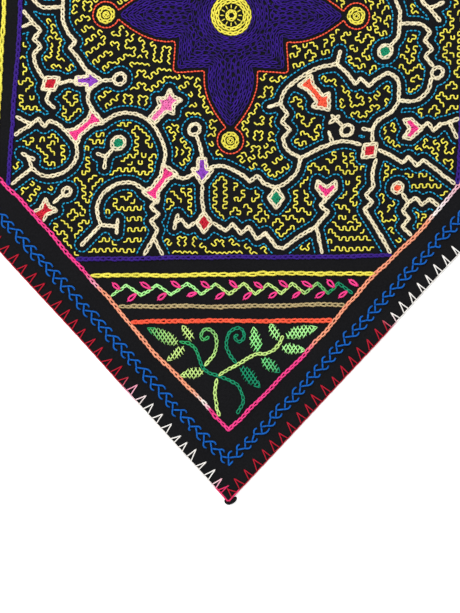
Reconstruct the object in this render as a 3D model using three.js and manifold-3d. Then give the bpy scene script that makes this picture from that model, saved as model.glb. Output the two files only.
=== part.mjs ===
// A square of black cotton cloth, hand embroidered with coloured thread in the Shipibo manner.
// It lies flat on a surface and is seen standing on one corner, so its diagonals run along X and Y.
// The cloth has a narrow hem turned under all round, held by a closed blanket stitch in thick thread.
// Inside the hem a chain-stitched frame line follows the edge. Each corner of the frame holds four
// straight chain-stitched lines and a zigzag vine, which leave an eight-sided panel in the middle.
// The panel carries a raised eight-petalled rosette with a round eye.
// Units are millimetres. The origin is under the middle of the cloth, on the surface, and +Z is up.

import * as THREE from "three";
import { mergeVertices } from "three/addons/utils/BufferGeometryUtils.js";
import Module from "manifold-3d";

// Cloth
const SIDE = 660;
const TIP_ANGLE = 85.4; // degrees at the near and far corners, because the cloth gives on the bias
const FIELD_THICKNESS = 1.6;
const HEM_THICKNESS = 2.4;
const HEM_WIDTH = 9;
const HEM_SLOPE_WIDTH = 2.5;
const EDGE_ROUND = 0.6;
const EDGE_WANDER = 0.9; // how far the cut edge strays from straight
const EDGE_STEPS = 26; // outline steps along each side

// The folded corner of the hem that sticks out of the near tip
const KNOB = { length: 10, width: 5, height: 3.2, along: 6.5, below: 1.2 };

// Thread lines, which all lie a hair above the cloth
const THREAD_GAP = 0.3;
const LINE_HEIGHT = 1.1;
const LINE_BEVEL = 0.35;
const FRAME_SIDE = 563;
const FRAME_LINE_WIDTH = 4.4;
const MEETING_GAP = 0.5; // between the end of one line and the side of the next

// Straight lines across each corner of the frame, by their distance from the middle of the cloth
const CORNER_LINES = [
  { name: "panel_line", distance: 241.5, width: 4.6, colour: "#3f1f87", roughness: 0.75 },
  { name: "yellow_line", distance: 258.5, width: 4.2, colour: "#e9de3f", roughness: 0.7 },
  { name: "khaki_line", distance: 290, width: 4.4, colour: "#a8955f", roughness: 0.75 },
  { name: "orange_line", distance: 305, width: 4.8, colour: "#f9502b", roughness: 0.7 },
];
const VINE = { distance: 273.2, swing: 5.4, points: 19, width: 2.6, endGap: 2, crowding: 0.045 };

// Each corner repeats the near one, turned by quarter turns. The lines there lie a little off:
// outward is added to every distance, and lean is how much the distance grows along the line.
const CORNERS = [
  { name: "south", quarterTurns: 0, outward: 0, lean: -0.0155 },
  { name: "east", quarterTurns: 1, outward: 15, lean: 0.0708 },
  { name: "north", quarterTurns: 2, outward: 0, lean: 0.0155 },
  { name: "west", quarterTurns: 3, outward: -13, lean: 0.0708 },
];

// Closed blanket stitch along the hem: a thread on the edge that rises to a point at each stitch
const STITCHES_PER_SIDE = 50;
const STITCH_DEPTH = 10.4;
const STITCH_FOOT = 6.4; // between the two feet of one stitch
const STITCH_WIDTH = 1.4;
const STITCH_HEIGHT = 1.0;
const STITCH_INSET = 1.5; // from the cloth's edge to the middle of the thread
const STITCH_CLEAR = 16; // left free at each corner

// Rosette. The belly is where a petal's sides bow out most, as a share of the petal's length.
const ROSETTE = {
  longPetal: 112,
  shortPetal: 76,
  valley: 56,
  belly: 0.7,
  bulge: 0.26,
  eyeHole: 21,
  height: 1.2,
};
const EYE = { radius: 20.4, hub: 7.5, height: 1.6 };

// Worked out from the sizes above
const HALF_TIP = THREE.MathUtils.degToRad(TIP_ANGLE / 2);
const HALF_HEIGHT = SIDE * Math.cos(HALF_TIP);
const HALF_WIDTH = SIDE * Math.sin(HALF_TIP);
const SQUASH = HALF_WIDTH / HALF_HEIGHT;
const SIDE_DISTANCE = (SIDE / 2) * Math.sin(2 * HALF_TIP); // from the middle to a side
const FIELD_TOP = FIELD_THICKNESS + THREAD_GAP;
const HEM_TOP = HEM_THICKNESS + THREAD_GAP;

const wasm = await Module();
wasm.setup();

function threadMaterial(colour, roughness = 0.7) {
  return new THREE.MeshStandardMaterial({ color: colour, roughness, metalness: 0 });
}

function namedMesh(name, geometry, material, height = 0) {
  const mesh = new THREE.Mesh(geometry, material);
  mesh.name = name;
  mesh.position.z = height;
  return mesh;
}

// A closed mesh as a manifold-3d solid, and back.
function toSolid(geometry) {
  const bare = geometry.index ? geometry.toNonIndexed() : geometry.clone();
  bare.deleteAttribute("normal");
  bare.deleteAttribute("uv");
  const merged = mergeVertices(bare, 1e-4);
  return new wasm.Manifold(
    new wasm.Mesh({
      numProp: 3,
      vertProperties: new Float32Array(merged.attributes.position.array),
      triVerts: new Uint32Array(merged.index.array),
    }),
  );
}

function toGeometry(solid) {
  const { vertProperties, triVerts } = solid.getMesh();
  const geometry = new THREE.BufferGeometry();
  geometry.setAttribute("position", new THREE.BufferAttribute(vertProperties, 3));
  geometry.setIndex(new THREE.BufferAttribute(triVerts, 1));
  return geometry;
}

// The four corners of a rhombus like the cloth's whose sides lie this far from the middle,
// from the near corner anticlockwise.
function rhombus(sideDistance) {
  const scale = sideDistance / SIDE_DISTANCE;
  const x = HALF_WIDTH * scale;
  const y = HALF_HEIGHT * scale;
  return [
    new THREE.Vector2(0, -y),
    new THREE.Vector2(x, 0),
    new THREE.Vector2(0, y),
    new THREE.Vector2(-x, 0),
  ];
}

// A point of a corner's own pattern, as far across and as far out as given, on the cloth.
function atCorner(corner, across, distance) {
  const out = distance + corner.outward + corner.lean * across;
  const near = new THREE.Vector2(across, -out);
  const turned = [
    near,
    new THREE.Vector2(out * SQUASH, across / SQUASH),
    new THREE.Vector2(-near.x, -near.y),
    new THREE.Vector2(-out * SQUASH, -across / SQUASH),
  ];
  return turned[corner.quarterTurns];
}

// How far across a corner the line at this distance reaches, to each side, inside the frame.
function reachInFrame(corner, distance) {
  const frameDistance = (FRAME_SIDE / 2) * Math.sin(2 * HALF_TIP);
  const inside = rhombus(frameDistance - FRAME_LINE_WIDTH / 2 - MEETING_GAP);
  const halfWidth = inside[1].x;
  const halfHeight = inside[2].y;
  const reach = (across) => {
    const p = atCorner(corner, across, distance);
    return Math.abs(p.x) / halfWidth + Math.abs(p.y) / halfHeight - 1;
  };
  return [-1, 1].map((way) => {
    let near = 0;
    let far = way * HALF_HEIGHT;
    for (let i = 0; i < 50; i++) {
      const middle = (near + far) / 2;
      if (reach(middle) < 0) near = middle;
      else far = middle;
    }
    return near;
  });
}

function endsInFrame(corner, distance) {
  return reachInFrame(corner, distance).map((across) => atCorner(corner, across, distance));
}

function extruded(outline, height, bevel = 0, holes = []) {
  const shape = new THREE.Shape(outline);
  for (const hole of holes) shape.holes.push(hole);
  return new THREE.ExtrudeGeometry(shape, {
    depth: height - 2 * bevel,
    curveSegments: 12,
    bevelEnabled: bevel > 0,
    bevelThickness: bevel,
    bevelSize: bevel,
    bevelOffset: -bevel,
    bevelSegments: 1,
  }).translate(0, 0, bevel);
}

// The outline of a ribbon of this width along a line of points. Sharp corners are cut short.
function ribbonOutline(points, width) {
  const half = width / 2;
  const longestMitre = 1.7 * half;
  const left = [];
  const right = [];
  points.forEach((p, i) => {
    const before = points[Math.max(i - 1, 0)];
    const after = points[Math.min(i + 1, points.length - 1)];
    const arriving = p.clone().sub(before).normalize();
    const leaving = after.clone().sub(p).normalize();
    if (i === 0) arriving.copy(leaving);
    if (i === points.length - 1) leaving.copy(arriving);
    const along = arriving.clone().add(leaving).normalize();
    const normal = new THREE.Vector2(-along.y, along.x);
    const across = new THREE.Vector2(-leaving.y, leaving.x);
    const mitre = half / Math.max(normal.dot(across), 0.2);
    const turnsLeft = arriving.cross(leaving) > 0;
    const outer = Math.min(mitre, longestMitre);
    left.push(p.clone().addScaledVector(normal, turnsLeft ? mitre : outer));
    right.push(p.clone().addScaledVector(normal, -(turnsLeft ? outer : mitre)));
  });
  return [...right, ...left.reverse()];
}

// The cut edge of the cloth, as a share of the way along one side, moved inwards by inset.
function onEdge(side, share, inset = 0) {
  const corners = rhombus(SIDE_DISTANCE - inset);
  const start = corners[side];
  const end = corners[(side + 1) % 4];
  const along = end.clone().sub(start).normalize();
  const outwards = new THREE.Vector2(along.y, -along.x);
  const fade = Math.sin(Math.PI * share);
  const wave = Math.sin(9.5 * share + 1.7 * side) + 0.5 * Math.sin(23 * share + 2.6 * side);
  return start.clone().lerp(end, share).addScaledVector(outwards, EDGE_WANDER * 0.6 * fade * wave);
}

// The cloth as a stack of loops that run round it: under the edge, up its side, over the hem,
// down the hem's inner slope and onto the flat field, closed by a fan below and a fan above.
function clothSolid() {
  const profile = [
    { inset: EDGE_ROUND, z: 0 },
    { inset: 0, z: EDGE_ROUND },
    { inset: 0, z: HEM_THICKNESS - EDGE_ROUND },
    { inset: EDGE_ROUND, z: HEM_THICKNESS },
    { inset: HEM_WIDTH, z: HEM_THICKNESS },
    { inset: HEM_WIDTH + HEM_SLOPE_WIDTH, z: FIELD_THICKNESS },
  ];
  const around = 4 * EDGE_STEPS;
  const positions = [];
  for (const { inset, z } of profile) {
    for (let i = 0; i < around; i++) {
      const side = Math.floor(i / EDGE_STEPS);
      const p = onEdge(side, (i % EDGE_STEPS) / EDGE_STEPS, inset);
      positions.push(p.x, p.y, z);
    }
  }
  const under = positions.length / 3;
  positions.push(0, 0, 0);
  const over = under + 1;
  positions.push(0, 0, FIELD_THICKNESS);
  const faces = [];
  for (let i = 0; i < around; i++) {
    const next = (i + 1) % around;
    faces.push(under, next, i);
    for (let loop = 0; loop < profile.length - 1; loop++) {
      const low = loop * around;
      const high = low + around;
      faces.push(low + i, low + next, high + next);
      faces.push(low + i, high + next, high + i);
    }
    const last = (profile.length - 1) * around;
    faces.push(over, last + i, last + next);
  }
  const geometry = new THREE.BufferGeometry();
  geometry.setAttribute("position", new THREE.Float32BufferAttribute(positions, 3));
  geometry.setIndex(faces);
  return toSolid(geometry);
}

function knobSolid() {
  const knob = new THREE.SphereGeometry(0.5, 12, 8);
  knob.scale(KNOB.length, KNOB.width, KNOB.height);
  knob.rotateZ(HALF_TIP);
  knob.translate(KNOB.along, -HALF_HEIGHT + KNOB.below + KNOB.along, KNOB.height / 2);
  return toSolid(knob);
}

function groundCloth() {
  const cotton = new THREE.MeshStandardMaterial({ color: "#18181a", roughness: 0.95, metalness: 0 });
  return namedMesh("ground_cloth", toGeometry(clothSolid().add(knobSolid())), cotton);
}

// The four sides of the frame line, mitred at the corners with a small gap.
function frameLines() {
  const distance = (FRAME_SIDE / 2) * Math.sin(2 * HALF_TIP);
  const outer = rhombus(distance + FRAME_LINE_WIDTH / 2);
  const inner = rhombus(distance - FRAME_LINE_WIDTH / 2);
  const colours = ["#f83c86", "#fb8a62", "#f83c86", "#fb8a62"];
  return outer.map((corner, i) => {
    const next = (i + 1) % 4;
    const along = outer[next].clone().sub(corner).normalize();
    const trimmed = (p, way) => p.clone().addScaledVector(along, way * MEETING_GAP / 2);
    const outline = [
      trimmed(corner, 1),
      trimmed(outer[next], -1),
      trimmed(inner[next], -1),
      trimmed(inner[i], 1),
    ];
    const geometry = extruded(outline, LINE_HEIGHT, LINE_BEVEL);
    return namedMesh(`frame_line_${i + 1}`, geometry, threadMaterial(colours[i]), FIELD_TOP);
  });
}

function cornerLine(corner, line) {
  const [innerStart, innerEnd] = endsInFrame(corner, line.distance - line.width / 2);
  const [outerStart, outerEnd] = endsInFrame(corner, line.distance + line.width / 2);
  const outline = [outerStart, outerEnd, innerEnd, innerStart];
  const geometry = extruded(outline, LINE_HEIGHT, LINE_BEVEL);
  const material = threadMaterial(line.colour, line.roughness);
  return namedMesh(`${line.name}_${corner.name}`, geometry, material, FIELD_TOP);
}

// The zigzags start wide and crowd together towards the far end, as sewn by hand.
function vineLine(corner) {
  const [low, high] = reachInFrame(corner, VINE.distance + VINE.swing);
  const start = low + VINE.endGap;
  const reach = high - VINE.endGap - start;
  const points = [];
  for (let i = 0; i < VINE.points; i++) {
    const share = i / (VINE.points - 1);
    const across = start + reach * (share + VINE.crowding * Math.sin(Math.PI * share));
    const swing = i % 2 ? -VINE.swing : VINE.swing;
    points.push(atCorner(corner, across, VINE.distance + swing));
  }
  const geometry = extruded(ribbonOutline(points, VINE.width), LINE_HEIGHT);
  return namedMesh(`vine_${corner.name}`, geometry, threadMaterial("#8fdc66"), FIELD_TOP);
}

// One side of the closed blanket stitch, as the single thread that it is.
function edgingLine(side) {
  const free = SIDE - 2 * STITCH_CLEAR;
  const pitch = free / STITCHES_PER_SIDE;
  const foot = STITCH_FOOT / 2;
  const points = [];
  for (let i = 0; i < STITCHES_PER_SIDE; i++) {
    const middle = STITCH_CLEAR + (i + 0.5) * pitch;
    points.push(onEdge(side, (middle - foot) / SIDE, STITCH_INSET));
    points.push(onEdge(side, middle / SIDE, STITCH_DEPTH));
    points.push(onEdge(side, (middle + foot) / SIDE, STITCH_INSET));
  }
  const geometry = extruded(ribbonOutline(points, STITCH_WIDTH), STITCH_HEIGHT);
  const colour = side === 0 || side === 3 ? "#c81e36" : "#ece6df";
  return namedMesh(`edging_${side + 1}`, geometry, threadMaterial(colour), HEM_TOP);
}

// The rosette's outline: eight petals, long ones along the diagonals of the cloth and short ones
// between, each side of a petal one bowed curve.
function rosetteShape() {
  const shape = new THREE.Shape();
  const polar = (radius, angle) =>
    new THREE.Vector2(radius * Math.cos(angle), radius * Math.sin(angle));
  const step = Math.PI / 4;
  const start = polar(ROSETTE.valley, -step / 2);
  shape.moveTo(start.x, start.y);
  for (let i = 0; i < 8; i++) {
    const angle = i * step;
    const radius = i % 2 ? ROSETTE.shortPetal : ROSETTE.longPetal;
    const tip = polar(radius, angle);
    const bow = radius * ROSETTE.bulge;
    for (const [way, end] of [[-1, tip], [1, polar(ROSETTE.valley, angle + step / 2)]]) {
      const belly = polar(radius * ROSETTE.belly, angle);
      const sideways = polar(bow, angle + way * Math.PI / 2);
      const control = belly.add(sideways);
      shape.quadraticCurveTo(control.x, control.y, end.x, end.y);
    }
  }
  return shape;
}

function rosette() {
  const outline = rosetteShape().getPoints(6).slice(0, -1);
  const hole = new THREE.Path().absarc(0, 0, ROSETTE.eyeHole, 0, 2 * Math.PI, true);
  const petals = extruded(outline, ROSETTE.height, 0, [hole]);
  const profile = [
    [0, 0],
    [EYE.radius, 0],
    [EYE.radius, EYE.height * 0.5],
    [EYE.radius - 2.5, EYE.height * 0.8],
    [EYE.hub, EYE.height * 0.8],
    [0, EYE.height],
  ].map(([x, y]) => new THREE.Vector2(x, y));
  const eye = new THREE.LatheGeometry(profile, 32).rotateX(Math.PI / 2);
  return [
    namedMesh("rosette_petals", petals, threadMaterial("#35187c", 0.8), FIELD_TOP),
    namedMesh("rosette_eye", eye, threadMaterial("#ece04a"), FIELD_TOP),
  ];
}

const cloth = new THREE.Group();
cloth.add(groundCloth());
cloth.add(...frameLines());
for (const corner of CORNERS) {
  for (const line of CORNER_LINES) cloth.add(cornerLine(corner, line));
  cloth.add(vineLine(corner));
}
for (let side = 0; side < 4; side++) cloth.add(edgingLine(side));
cloth.add(...rosette());

export default cloth;
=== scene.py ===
"""A square of black cotton embroidered in coloured pearl cotton, lying flat with its face up.

The file is laid out as an add-on: sizes and colours are properties, and each group of pieces has
its own operator. Run as a script, it makes the whole cloth round the fixed frame.
Places on the cloth are in millimetres from its middle, X to the right and Y up in the main view.
"""

import math

import bpy
import numpy as np
from bpy.props import FloatProperty, FloatVectorProperty, IntProperty, PointerProperty
from mathutils.kdtree import KDTree
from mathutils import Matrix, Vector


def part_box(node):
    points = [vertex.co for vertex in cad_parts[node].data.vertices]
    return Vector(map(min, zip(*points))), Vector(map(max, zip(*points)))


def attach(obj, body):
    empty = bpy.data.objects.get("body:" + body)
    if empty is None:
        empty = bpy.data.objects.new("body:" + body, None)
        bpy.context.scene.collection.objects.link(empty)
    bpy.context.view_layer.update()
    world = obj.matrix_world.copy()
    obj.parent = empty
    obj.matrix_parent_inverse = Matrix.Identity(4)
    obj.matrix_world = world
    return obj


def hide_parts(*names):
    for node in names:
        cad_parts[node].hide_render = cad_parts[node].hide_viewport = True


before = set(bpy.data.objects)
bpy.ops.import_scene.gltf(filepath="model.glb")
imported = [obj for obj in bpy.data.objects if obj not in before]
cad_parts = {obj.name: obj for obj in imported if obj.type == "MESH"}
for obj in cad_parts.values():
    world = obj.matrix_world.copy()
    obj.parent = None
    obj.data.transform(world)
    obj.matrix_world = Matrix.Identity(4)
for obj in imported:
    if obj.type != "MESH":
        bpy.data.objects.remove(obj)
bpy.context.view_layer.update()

bl_info = {
    "name": "Embroidered Cloth",
    "version": (1, 0, 0),
    "blender": (4, 5, 0),
    "location": "3D View > Sidebar > Cloth",
    "description": "Makes a black cotton cloth with its hem, stitches and embroidery",
    "category": "Object",
}

MM = 0.001
TAU = 2 * math.pi
SEED = 41


def linear(code):
    """An sRGB hex colour as linear red, green and blue."""
    parts = [int(code[i:i + 2], 16) / 255 for i in (1, 3, 5)]
    return tuple(c / 12.92 if c <= 0.04045 else ((c + 0.055) / 1.055) ** 2.4 for c in parts)


# The cloth, from the frame

def box_mm(node):
    """The box round a node of the frame, in millimetres."""
    low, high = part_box(node)
    return np.array(low) / MM, np.array(high) / MM


CLOTH_HIGH = box_mm("ground_cloth")[1]
THREAD_GAP = 0.3
HALF_WIDTH = float(CLOTH_HIGH[0])
HALF_HEIGHT = float(CLOTH_HIGH[1])
SIDE = math.hypot(HALF_WIDTH, HALF_HEIGHT)
SQUASH = HALF_WIDTH / HALF_HEIGHT
SIDE_DISTANCE = HALF_WIDTH * HALF_HEIGHT / SIDE
FIELD_TOP = float(box_mm("frame_line_1")[0][2]) - THREAD_GAP
HEM_TOP = float(box_mm("edging_1")[0][2]) - THREAD_GAP
HEM_WIDTH = 9.0
HEM_SLOPE_WIDTH = 2.5
EDGING_CLEAR = 14.0
EDGE_WANDER = 0.54
FRAME_SIDE = 563.0
FRAME_DISTANCE = FRAME_SIDE / SIDE * SIDE_DISTANCE
PANEL_DISTANCE = 241.5
ORANGE_DISTANCE = 305.0

# Each corner repeats the near one by quarter turns. Lines there lie farther out by "outward",
# and lean by "lean" for each millimetre across.
CORNERS = {
    "south": {"turns": 0, "outward": 0.0, "lean": -0.0155},
    "east": {"turns": 1, "outward": 15.0, "lean": 0.0708},
    "north": {"turns": 2, "outward": 0.0, "lean": 0.0155},
    "west": {"turns": 3, "outward": -13.0, "lean": 0.0708},
}

# Rosette, as in the frame's own nodes
LONG_PETAL = 112.0
SHORT_PETAL = 76.0
PETAL_VALLEY = 56.0
PETAL_BELLY = 0.7
PETAL_BULGE = 0.26
EYE_HOLE = 21.0
TIP_RING = {"distance": 125.0, "radius": 9.5}


# Sizes and colours that a user would change

class ClothSizes(bpy.types.PropertyGroup):
    weave_pitch: FloatProperty(
        name="Weave pitch", description="Distance between neighbouring yarns of the cotton",
        default=0.9 * MM, min=0.2 * MM, max=5 * MM, unit="LENGTH", precision=4)
    ripple: FloatProperty(
        name="Ripple", description="How far the lying cloth lifts in its softest waves",
        default=0.7 * MM, min=0.0, max=5 * MM, unit="LENGTH", precision=4)
    cell: FloatProperty(
        name="Mesh cell", description="Size of one face of the cloth's mesh",
        default=4.5 * MM, min=2 * MM, max=20 * MM, unit="LENGTH", precision=4)


class ThreadSizes(bpy.types.PropertyGroup):
    chain_thread: FloatProperty(
        name="Chain thread", description="Thickness of the thread in chain stitches",
        default=1.8 * MM, min=0.3 * MM, max=3 * MM, unit="LENGTH", precision=4)
    chain_pitch: FloatProperty(
        name="Chain pitch", description="Length of one chain stitch",
        default=5.5 * MM, min=2 * MM, max=15 * MM, unit="LENGTH", precision=4)
    chain_width: FloatProperty(
        name="Chain width", description="Width of one chain stitch over its two legs",
        default=4.5 * MM, min=1 * MM, max=10 * MM, unit="LENGTH", precision=4)
    fine_thread: FloatProperty(
        name="Fine thread", description="Thickness of the thread in running and filling stitches",
        default=1.75 * MM, min=0.3 * MM, max=3 * MM, unit="LENGTH", precision=4)
    feather_thread: FloatProperty(
        name="Feather thread", description="Thickness of the thread in the feather stitch",
        default=2.25 * MM, min=0.3 * MM, max=3 * MM, unit="LENGTH", precision=4)
    filling_pitch: FloatProperty(
        name="Filling pitch", description="Distance between neighbouring rows of the filling",
        default=3.5 * MM, min=2 * MM, max=10 * MM, unit="LENGTH", precision=4)
    outline_gap: FloatProperty(
        name="Outline gap", description="From the middle of a cream line to its blue outline",
        default=7.2 * MM, min=3 * MM, max=15 * MM, unit="LENGTH", precision=4)
    edging_stitches: IntProperty(
        name="Edging stitches", description="Blanket stitches along one side of the cloth",
        default=50, min=10, max=120)


def thread_colour(name, code):
    """A property for the colour of one thread."""
    return FloatVectorProperty(
        name=name, description=f"Colour of the {name.lower()}", subtype="COLOR", size=3,
        min=0.0, max=1.0, default=linear(code))


class ThreadColours(bpy.types.PropertyGroup):
    cotton: thread_colour("Ground cotton", "#111113")
    cream: thread_colour("Cream thread", "#f3e6c2")
    cyan: thread_colour("Cyan thread", "#1aa0cc")
    yellow: thread_colour("Yellow thread", "#f1e553")
    purple: thread_colour("Purple thread", "#341380")
    deep_purple: thread_colour("Deep purple thread", "#2d0b78")
    khaki: thread_colour("Khaki thread", "#b8a575")
    orange: thread_colour("Orange red thread", "#ff5c3e")
    blue: thread_colour("Blue thread", "#005fbb")
    red: thread_colour("Red thread", "#b60a2a")
    white: thread_colour("White thread", "#fffaf4")
    pink: thread_colour("Pink thread", "#fc4090")
    pale_pink: thread_colour("Pale pink thread", "#f9a3bd")
    peach: thread_colour("Peach thread", "#ffa47f")
    light_pink: thread_colour("Light pink thread", "#f878b8")
    violet: thread_colour("Violet thread", "#9645c4")
    crimson: thread_colour("Crimson thread", "#d21d34")
    mint: thread_colour("Mint thread", "#86f58e")
    pale_mint: thread_colour("Pale mint thread", "#b2ff9a")
    lime: thread_colour("Lime thread", "#cdf08a")
    leaf_green: thread_colour("Leaf green thread", "#35b162")
    dark_green: thread_colour("Dark green thread", "#0f9066")


class StageSizes(bpy.types.PropertyGroup):
    lens: FloatProperty(
        name="Lens", description="Focal length of the camera above the cloth, in millimetres",
        default=85.0, min=20.0, max=300.0)
    light_power: FloatProperty(
        name="Light power", description="Power of the soft light above the cloth",
        default=39.0, min=0.0, max=1000.0, unit="POWER")
    sky_strength: FloatProperty(
        name="Room light", description="Strength of the even light from all round",
        default=0.76, min=0.0, max=5.0)


def sizes():
    """Sizes of the cloth."""
    return bpy.context.scene.cloth_sizes


def threads():
    """Sizes of the threads and stitches."""
    return bpy.context.scene.cloth_threads


def colour(name):
    """A thread's colour."""
    return np.array(getattr(bpy.context.scene.cloth_colours, name))


# The lying cloth

def inset_of(x, y):
    """How far inside the cloth's edge a place lies."""
    return SIDE_DISTANCE - (np.abs(x) * HALF_HEIGHT + np.abs(y) * HALF_WIDTH) / SIDE


def lift_of(x, y):
    """How far the cloth's underside stands off the surface, in soft low waves."""
    waves = (np.sin(x / 71 + 0.8) * np.sin(y / 83 + 1.9)
             + 0.6 * np.sin((x + 0.7 * y) / 52 + 2.2)
             + 0.4 * np.sin((0.5 * x - y) / 37))
    near_edge = np.exp(-np.maximum(inset_of(x, y), 0) / 22)
    ruffle = near_edge * (np.sin((x - y) / 31) + np.sin((x + y) / 27 + 1.1))
    height = 0.5 + 0.25 * waves + 0.3 * ruffle
    return sizes().ripple / MM * np.maximum(height, 0)


def thickness_of(inset):
    """Height of the cloth's face over its underside, from the edge inwards."""
    insets = [-1.0, 0.0, 0.7, 1.8, HEM_WIDTH, HEM_WIDTH + HEM_SLOPE_WIDTH]
    heights = [0.6, 1.3, 2.1, HEM_TOP, HEM_TOP, FIELD_TOP]
    return np.interp(inset, insets, heights)


def on_cloth(flat, rise):
    """Points of the plane laid on the cloth's face and raised by rise."""
    x, y = flat[..., 0], flat[..., 1]
    z = lift_of(x, y) + thickness_of(inset_of(x, y)) + rise
    return np.stack([x, y, z], -1)


def rhombus(side_distance):
    """Corners of a rhombus like the cloth's, from the near one anticlockwise."""
    scale = side_distance / SIDE_DISTANCE
    x, y = HALF_WIDTH * scale, HALF_HEIGHT * scale
    return np.array([(0, -y), (x, 0), (0, y), (-x, 0)])


def edge_wave(side, share):
    """How far the cloth's edge wanders outwards at a share of one side."""
    wave = np.sin(9.5 * share + 1.7 * side) + 0.5 * np.sin(23 * share + 2.6 * side)
    return EDGE_WANDER * np.sin(math.pi * share) * wave


def edging_pitch():
    """Distance between neighbouring stitches of the edging."""
    return (SIDE - 2 * EDGING_CLEAR) / threads().edging_stitches


def edge_point(side, share, inset=0.0):
    """A place along one side of the cloth's slightly wavy edge, moved inwards by inset."""
    share = np.asarray(share, float)
    inset = np.broadcast_to(np.asarray(inset, float), share.shape)
    start, end = rhombus(SIDE_DISTANCE)[side], rhombus(SIDE_DISTANCE)[(side + 1) % 4]
    along = (end - start) / SIDE
    outwards = np.array([along[1], -along[0]])
    moved = edge_wave(side, share) - inset
    return start + share[..., None] * (end - start) + moved[..., None] * outwards


def at_corner(corner, across, distance):
    """A place of the near corner's pattern, turned to the named corner."""
    facts = CORNERS[corner]
    out = distance + facts["outward"] + facts["lean"] * across
    turned = [
        (across, -out),
        (out * SQUASH, across / SQUASH),
        (-across, out),
        (-out * SQUASH, -across / SQUASH),
    ]
    return np.stack(np.broadcast_arrays(*turned[facts["turns"]]), -1)


# The sewn frame line bows outwards a little on each side of its corners and at its middle: how
# far past a side's start, at its middle and before its end.
BOW_PLACE = 105
BOW_WIDTH = 60
FRAME_BOWS = [(3.9, 3.4, 2.4), (2.4, 1.5, 3.4), (3.4, 2.0, 2.2), (2.8, -0.8, 2.4)]


def frame_bow(side, along):
    """How far the frame line bows outwards at a distance along one side."""
    past_start, middle, before_end = FRAME_BOWS[side]
    hills = ((past_start, BOW_PLACE), (middle, FRAME_SIDE / 2),
             (before_end, FRAME_SIDE - BOW_PLACE))
    return sum(height * np.exp(-((along - place) / BOW_WIDTH) ** 2) for height, place in hills)


def frame_room(x, y):
    """Distance from a place inside the frame to the frame line."""
    corners = rhombus(FRAME_DISTANCE)
    room = FRAME_DISTANCE
    for side in range(4):
        start = corners[side]
        ahead = (corners[(side + 1) % 4] - start) / FRAME_SIDE
        along = (x - start[0]) * ahead[0] + (y - start[1]) * ahead[1]
        out = (x - start[0]) * ahead[1] - (y - start[1]) * ahead[0]
        room = np.minimum(room, frame_bow(side, along) - out)
    return room


def border_room(x, y):
    """Distance from a place inside the panel to the nearest line round it."""
    room = frame_room(x, y) - 2.2
    places = {
        "south": (x, -y),
        "east": (y * SQUASH, x / SQUASH),
        "north": (-x, y),
        "west": (-y * SQUASH, -x / SQUASH),
    }
    for name, (across, out) in places.items():
        facts = CORNERS[name]
        line = PANEL_DISTANCE - 2.3 + facts["outward"] + facts["lean"] * across
        room = np.minimum(room, line - out)
    return room


def reach_in_frame(corner, distance, margin=2.7):
    """How far a corner's line at this distance reaches, each way, inside the frame line."""
    across = np.linspace(-HALF_HEIGHT, HALF_HEIGHT, 4001)
    place = at_corner(corner, across, distance)
    inside = across[frame_room(place[:, 0], place[:, 1]) > margin]
    return float(inside.min()), float(inside.max())


# Lines of stitches

class Route:
    """A line on the cloth that is measured along its length."""

    def __init__(self, points, closed=False):
        points = np.asarray(points, float)
        if closed:
            points = np.concatenate([points, points[:1]])
        gaps = np.hypot(*np.diff(points, axis=0).T)
        self.points = points[np.concatenate([[True], gaps > 1e-6])]
        self.along = np.concatenate([[0.0], np.cumsum(gaps[gaps > 1e-6])])
        self.length = float(self.along[-1])
        self.closed = closed

    def at(self, s):
        """Places at distances along the route, straight on beyond its ends."""
        s = np.asarray(s, float)
        if self.closed:
            s = s % self.length
        held = np.clip(s, 0, self.length)
        spot = np.stack([np.interp(held, self.along, self.points[:, i]) for i in (0, 1)], -1)
        first = (self.points[1] - self.points[0]) / (self.along[1] - self.along[0])
        last = (self.points[-1] - self.points[-2]) / (self.along[-1] - self.along[-2])
        beyond = (s - held)[..., None]
        return spot + np.where(beyond < 0, beyond * first, beyond * last)

    def heading(self, s):
        """Directions of the route at distances along it."""
        ahead = self.at(np.asarray(s) + 0.6) - self.at(np.asarray(s) - 0.6)
        return ahead / np.maximum(np.linalg.norm(ahead, axis=-1, keepdims=True), 1e-9)


def smooth(points, per_gap=10):
    """More points, along a smooth line through the given ones."""
    p = np.asarray(points, float)
    p = np.concatenate([[2 * p[0] - p[1]], p, [2 * p[-1] - p[-2]]])
    t = np.linspace(0, 1, per_gap, endpoint=False)[:, None]
    runs = []
    for a, b, c, d in zip(p, p[1:], p[2:], p[3:]):
        runs.append(0.5 * (2 * b + (c - a) * t + (2 * a - 5 * b + 4 * c - d) * t ** 2
                           + (3 * b - a - 3 * c + d) * t ** 3))
    return np.concatenate(runs + [p[-2:-1]])


def bend(points):
    """A smooth route through the points."""
    return Route(smooth(points))


def steps(points):
    """Straight lines from point to point, each a route of its own."""
    return [Route([a, b]) for a, b in zip(points, points[1:])]


def ring(centre, radius, squash=1.0, angle=0.0):
    """A round or oval line."""
    turn = np.linspace(0, TAU, 36, endpoint=False)
    x, y = radius * np.cos(turn), radius * squash * np.sin(turn)
    c, s = math.cos(math.radians(angle)), math.sin(math.radians(angle))
    return Route(np.stack([centre[0] + x * c - y * s, centre[1] + x * s + y * c], -1), True)


def inside_parts(route, allowed):
    """The stretches of a route that lie where allowed says."""
    s = np.arange(0, route.length, 0.5)
    spots = route.at(s)
    good = allowed(spots[:, 0], spots[:, 1])
    if good.all():
        return [route]
    if route.closed and good.any():
        turn = int(np.argmin(good))
        spots, good = np.roll(spots, -turn, 0), np.roll(good, -turn)
    parts = []
    edges = np.flatnonzero(np.diff(np.concatenate([[0], good.astype(int), [0]])))
    for start, end in zip(edges[::2], edges[1::2]):
        if end - start > 5:
            parts.append(Route(spots[start:end]))
    return parts


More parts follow.
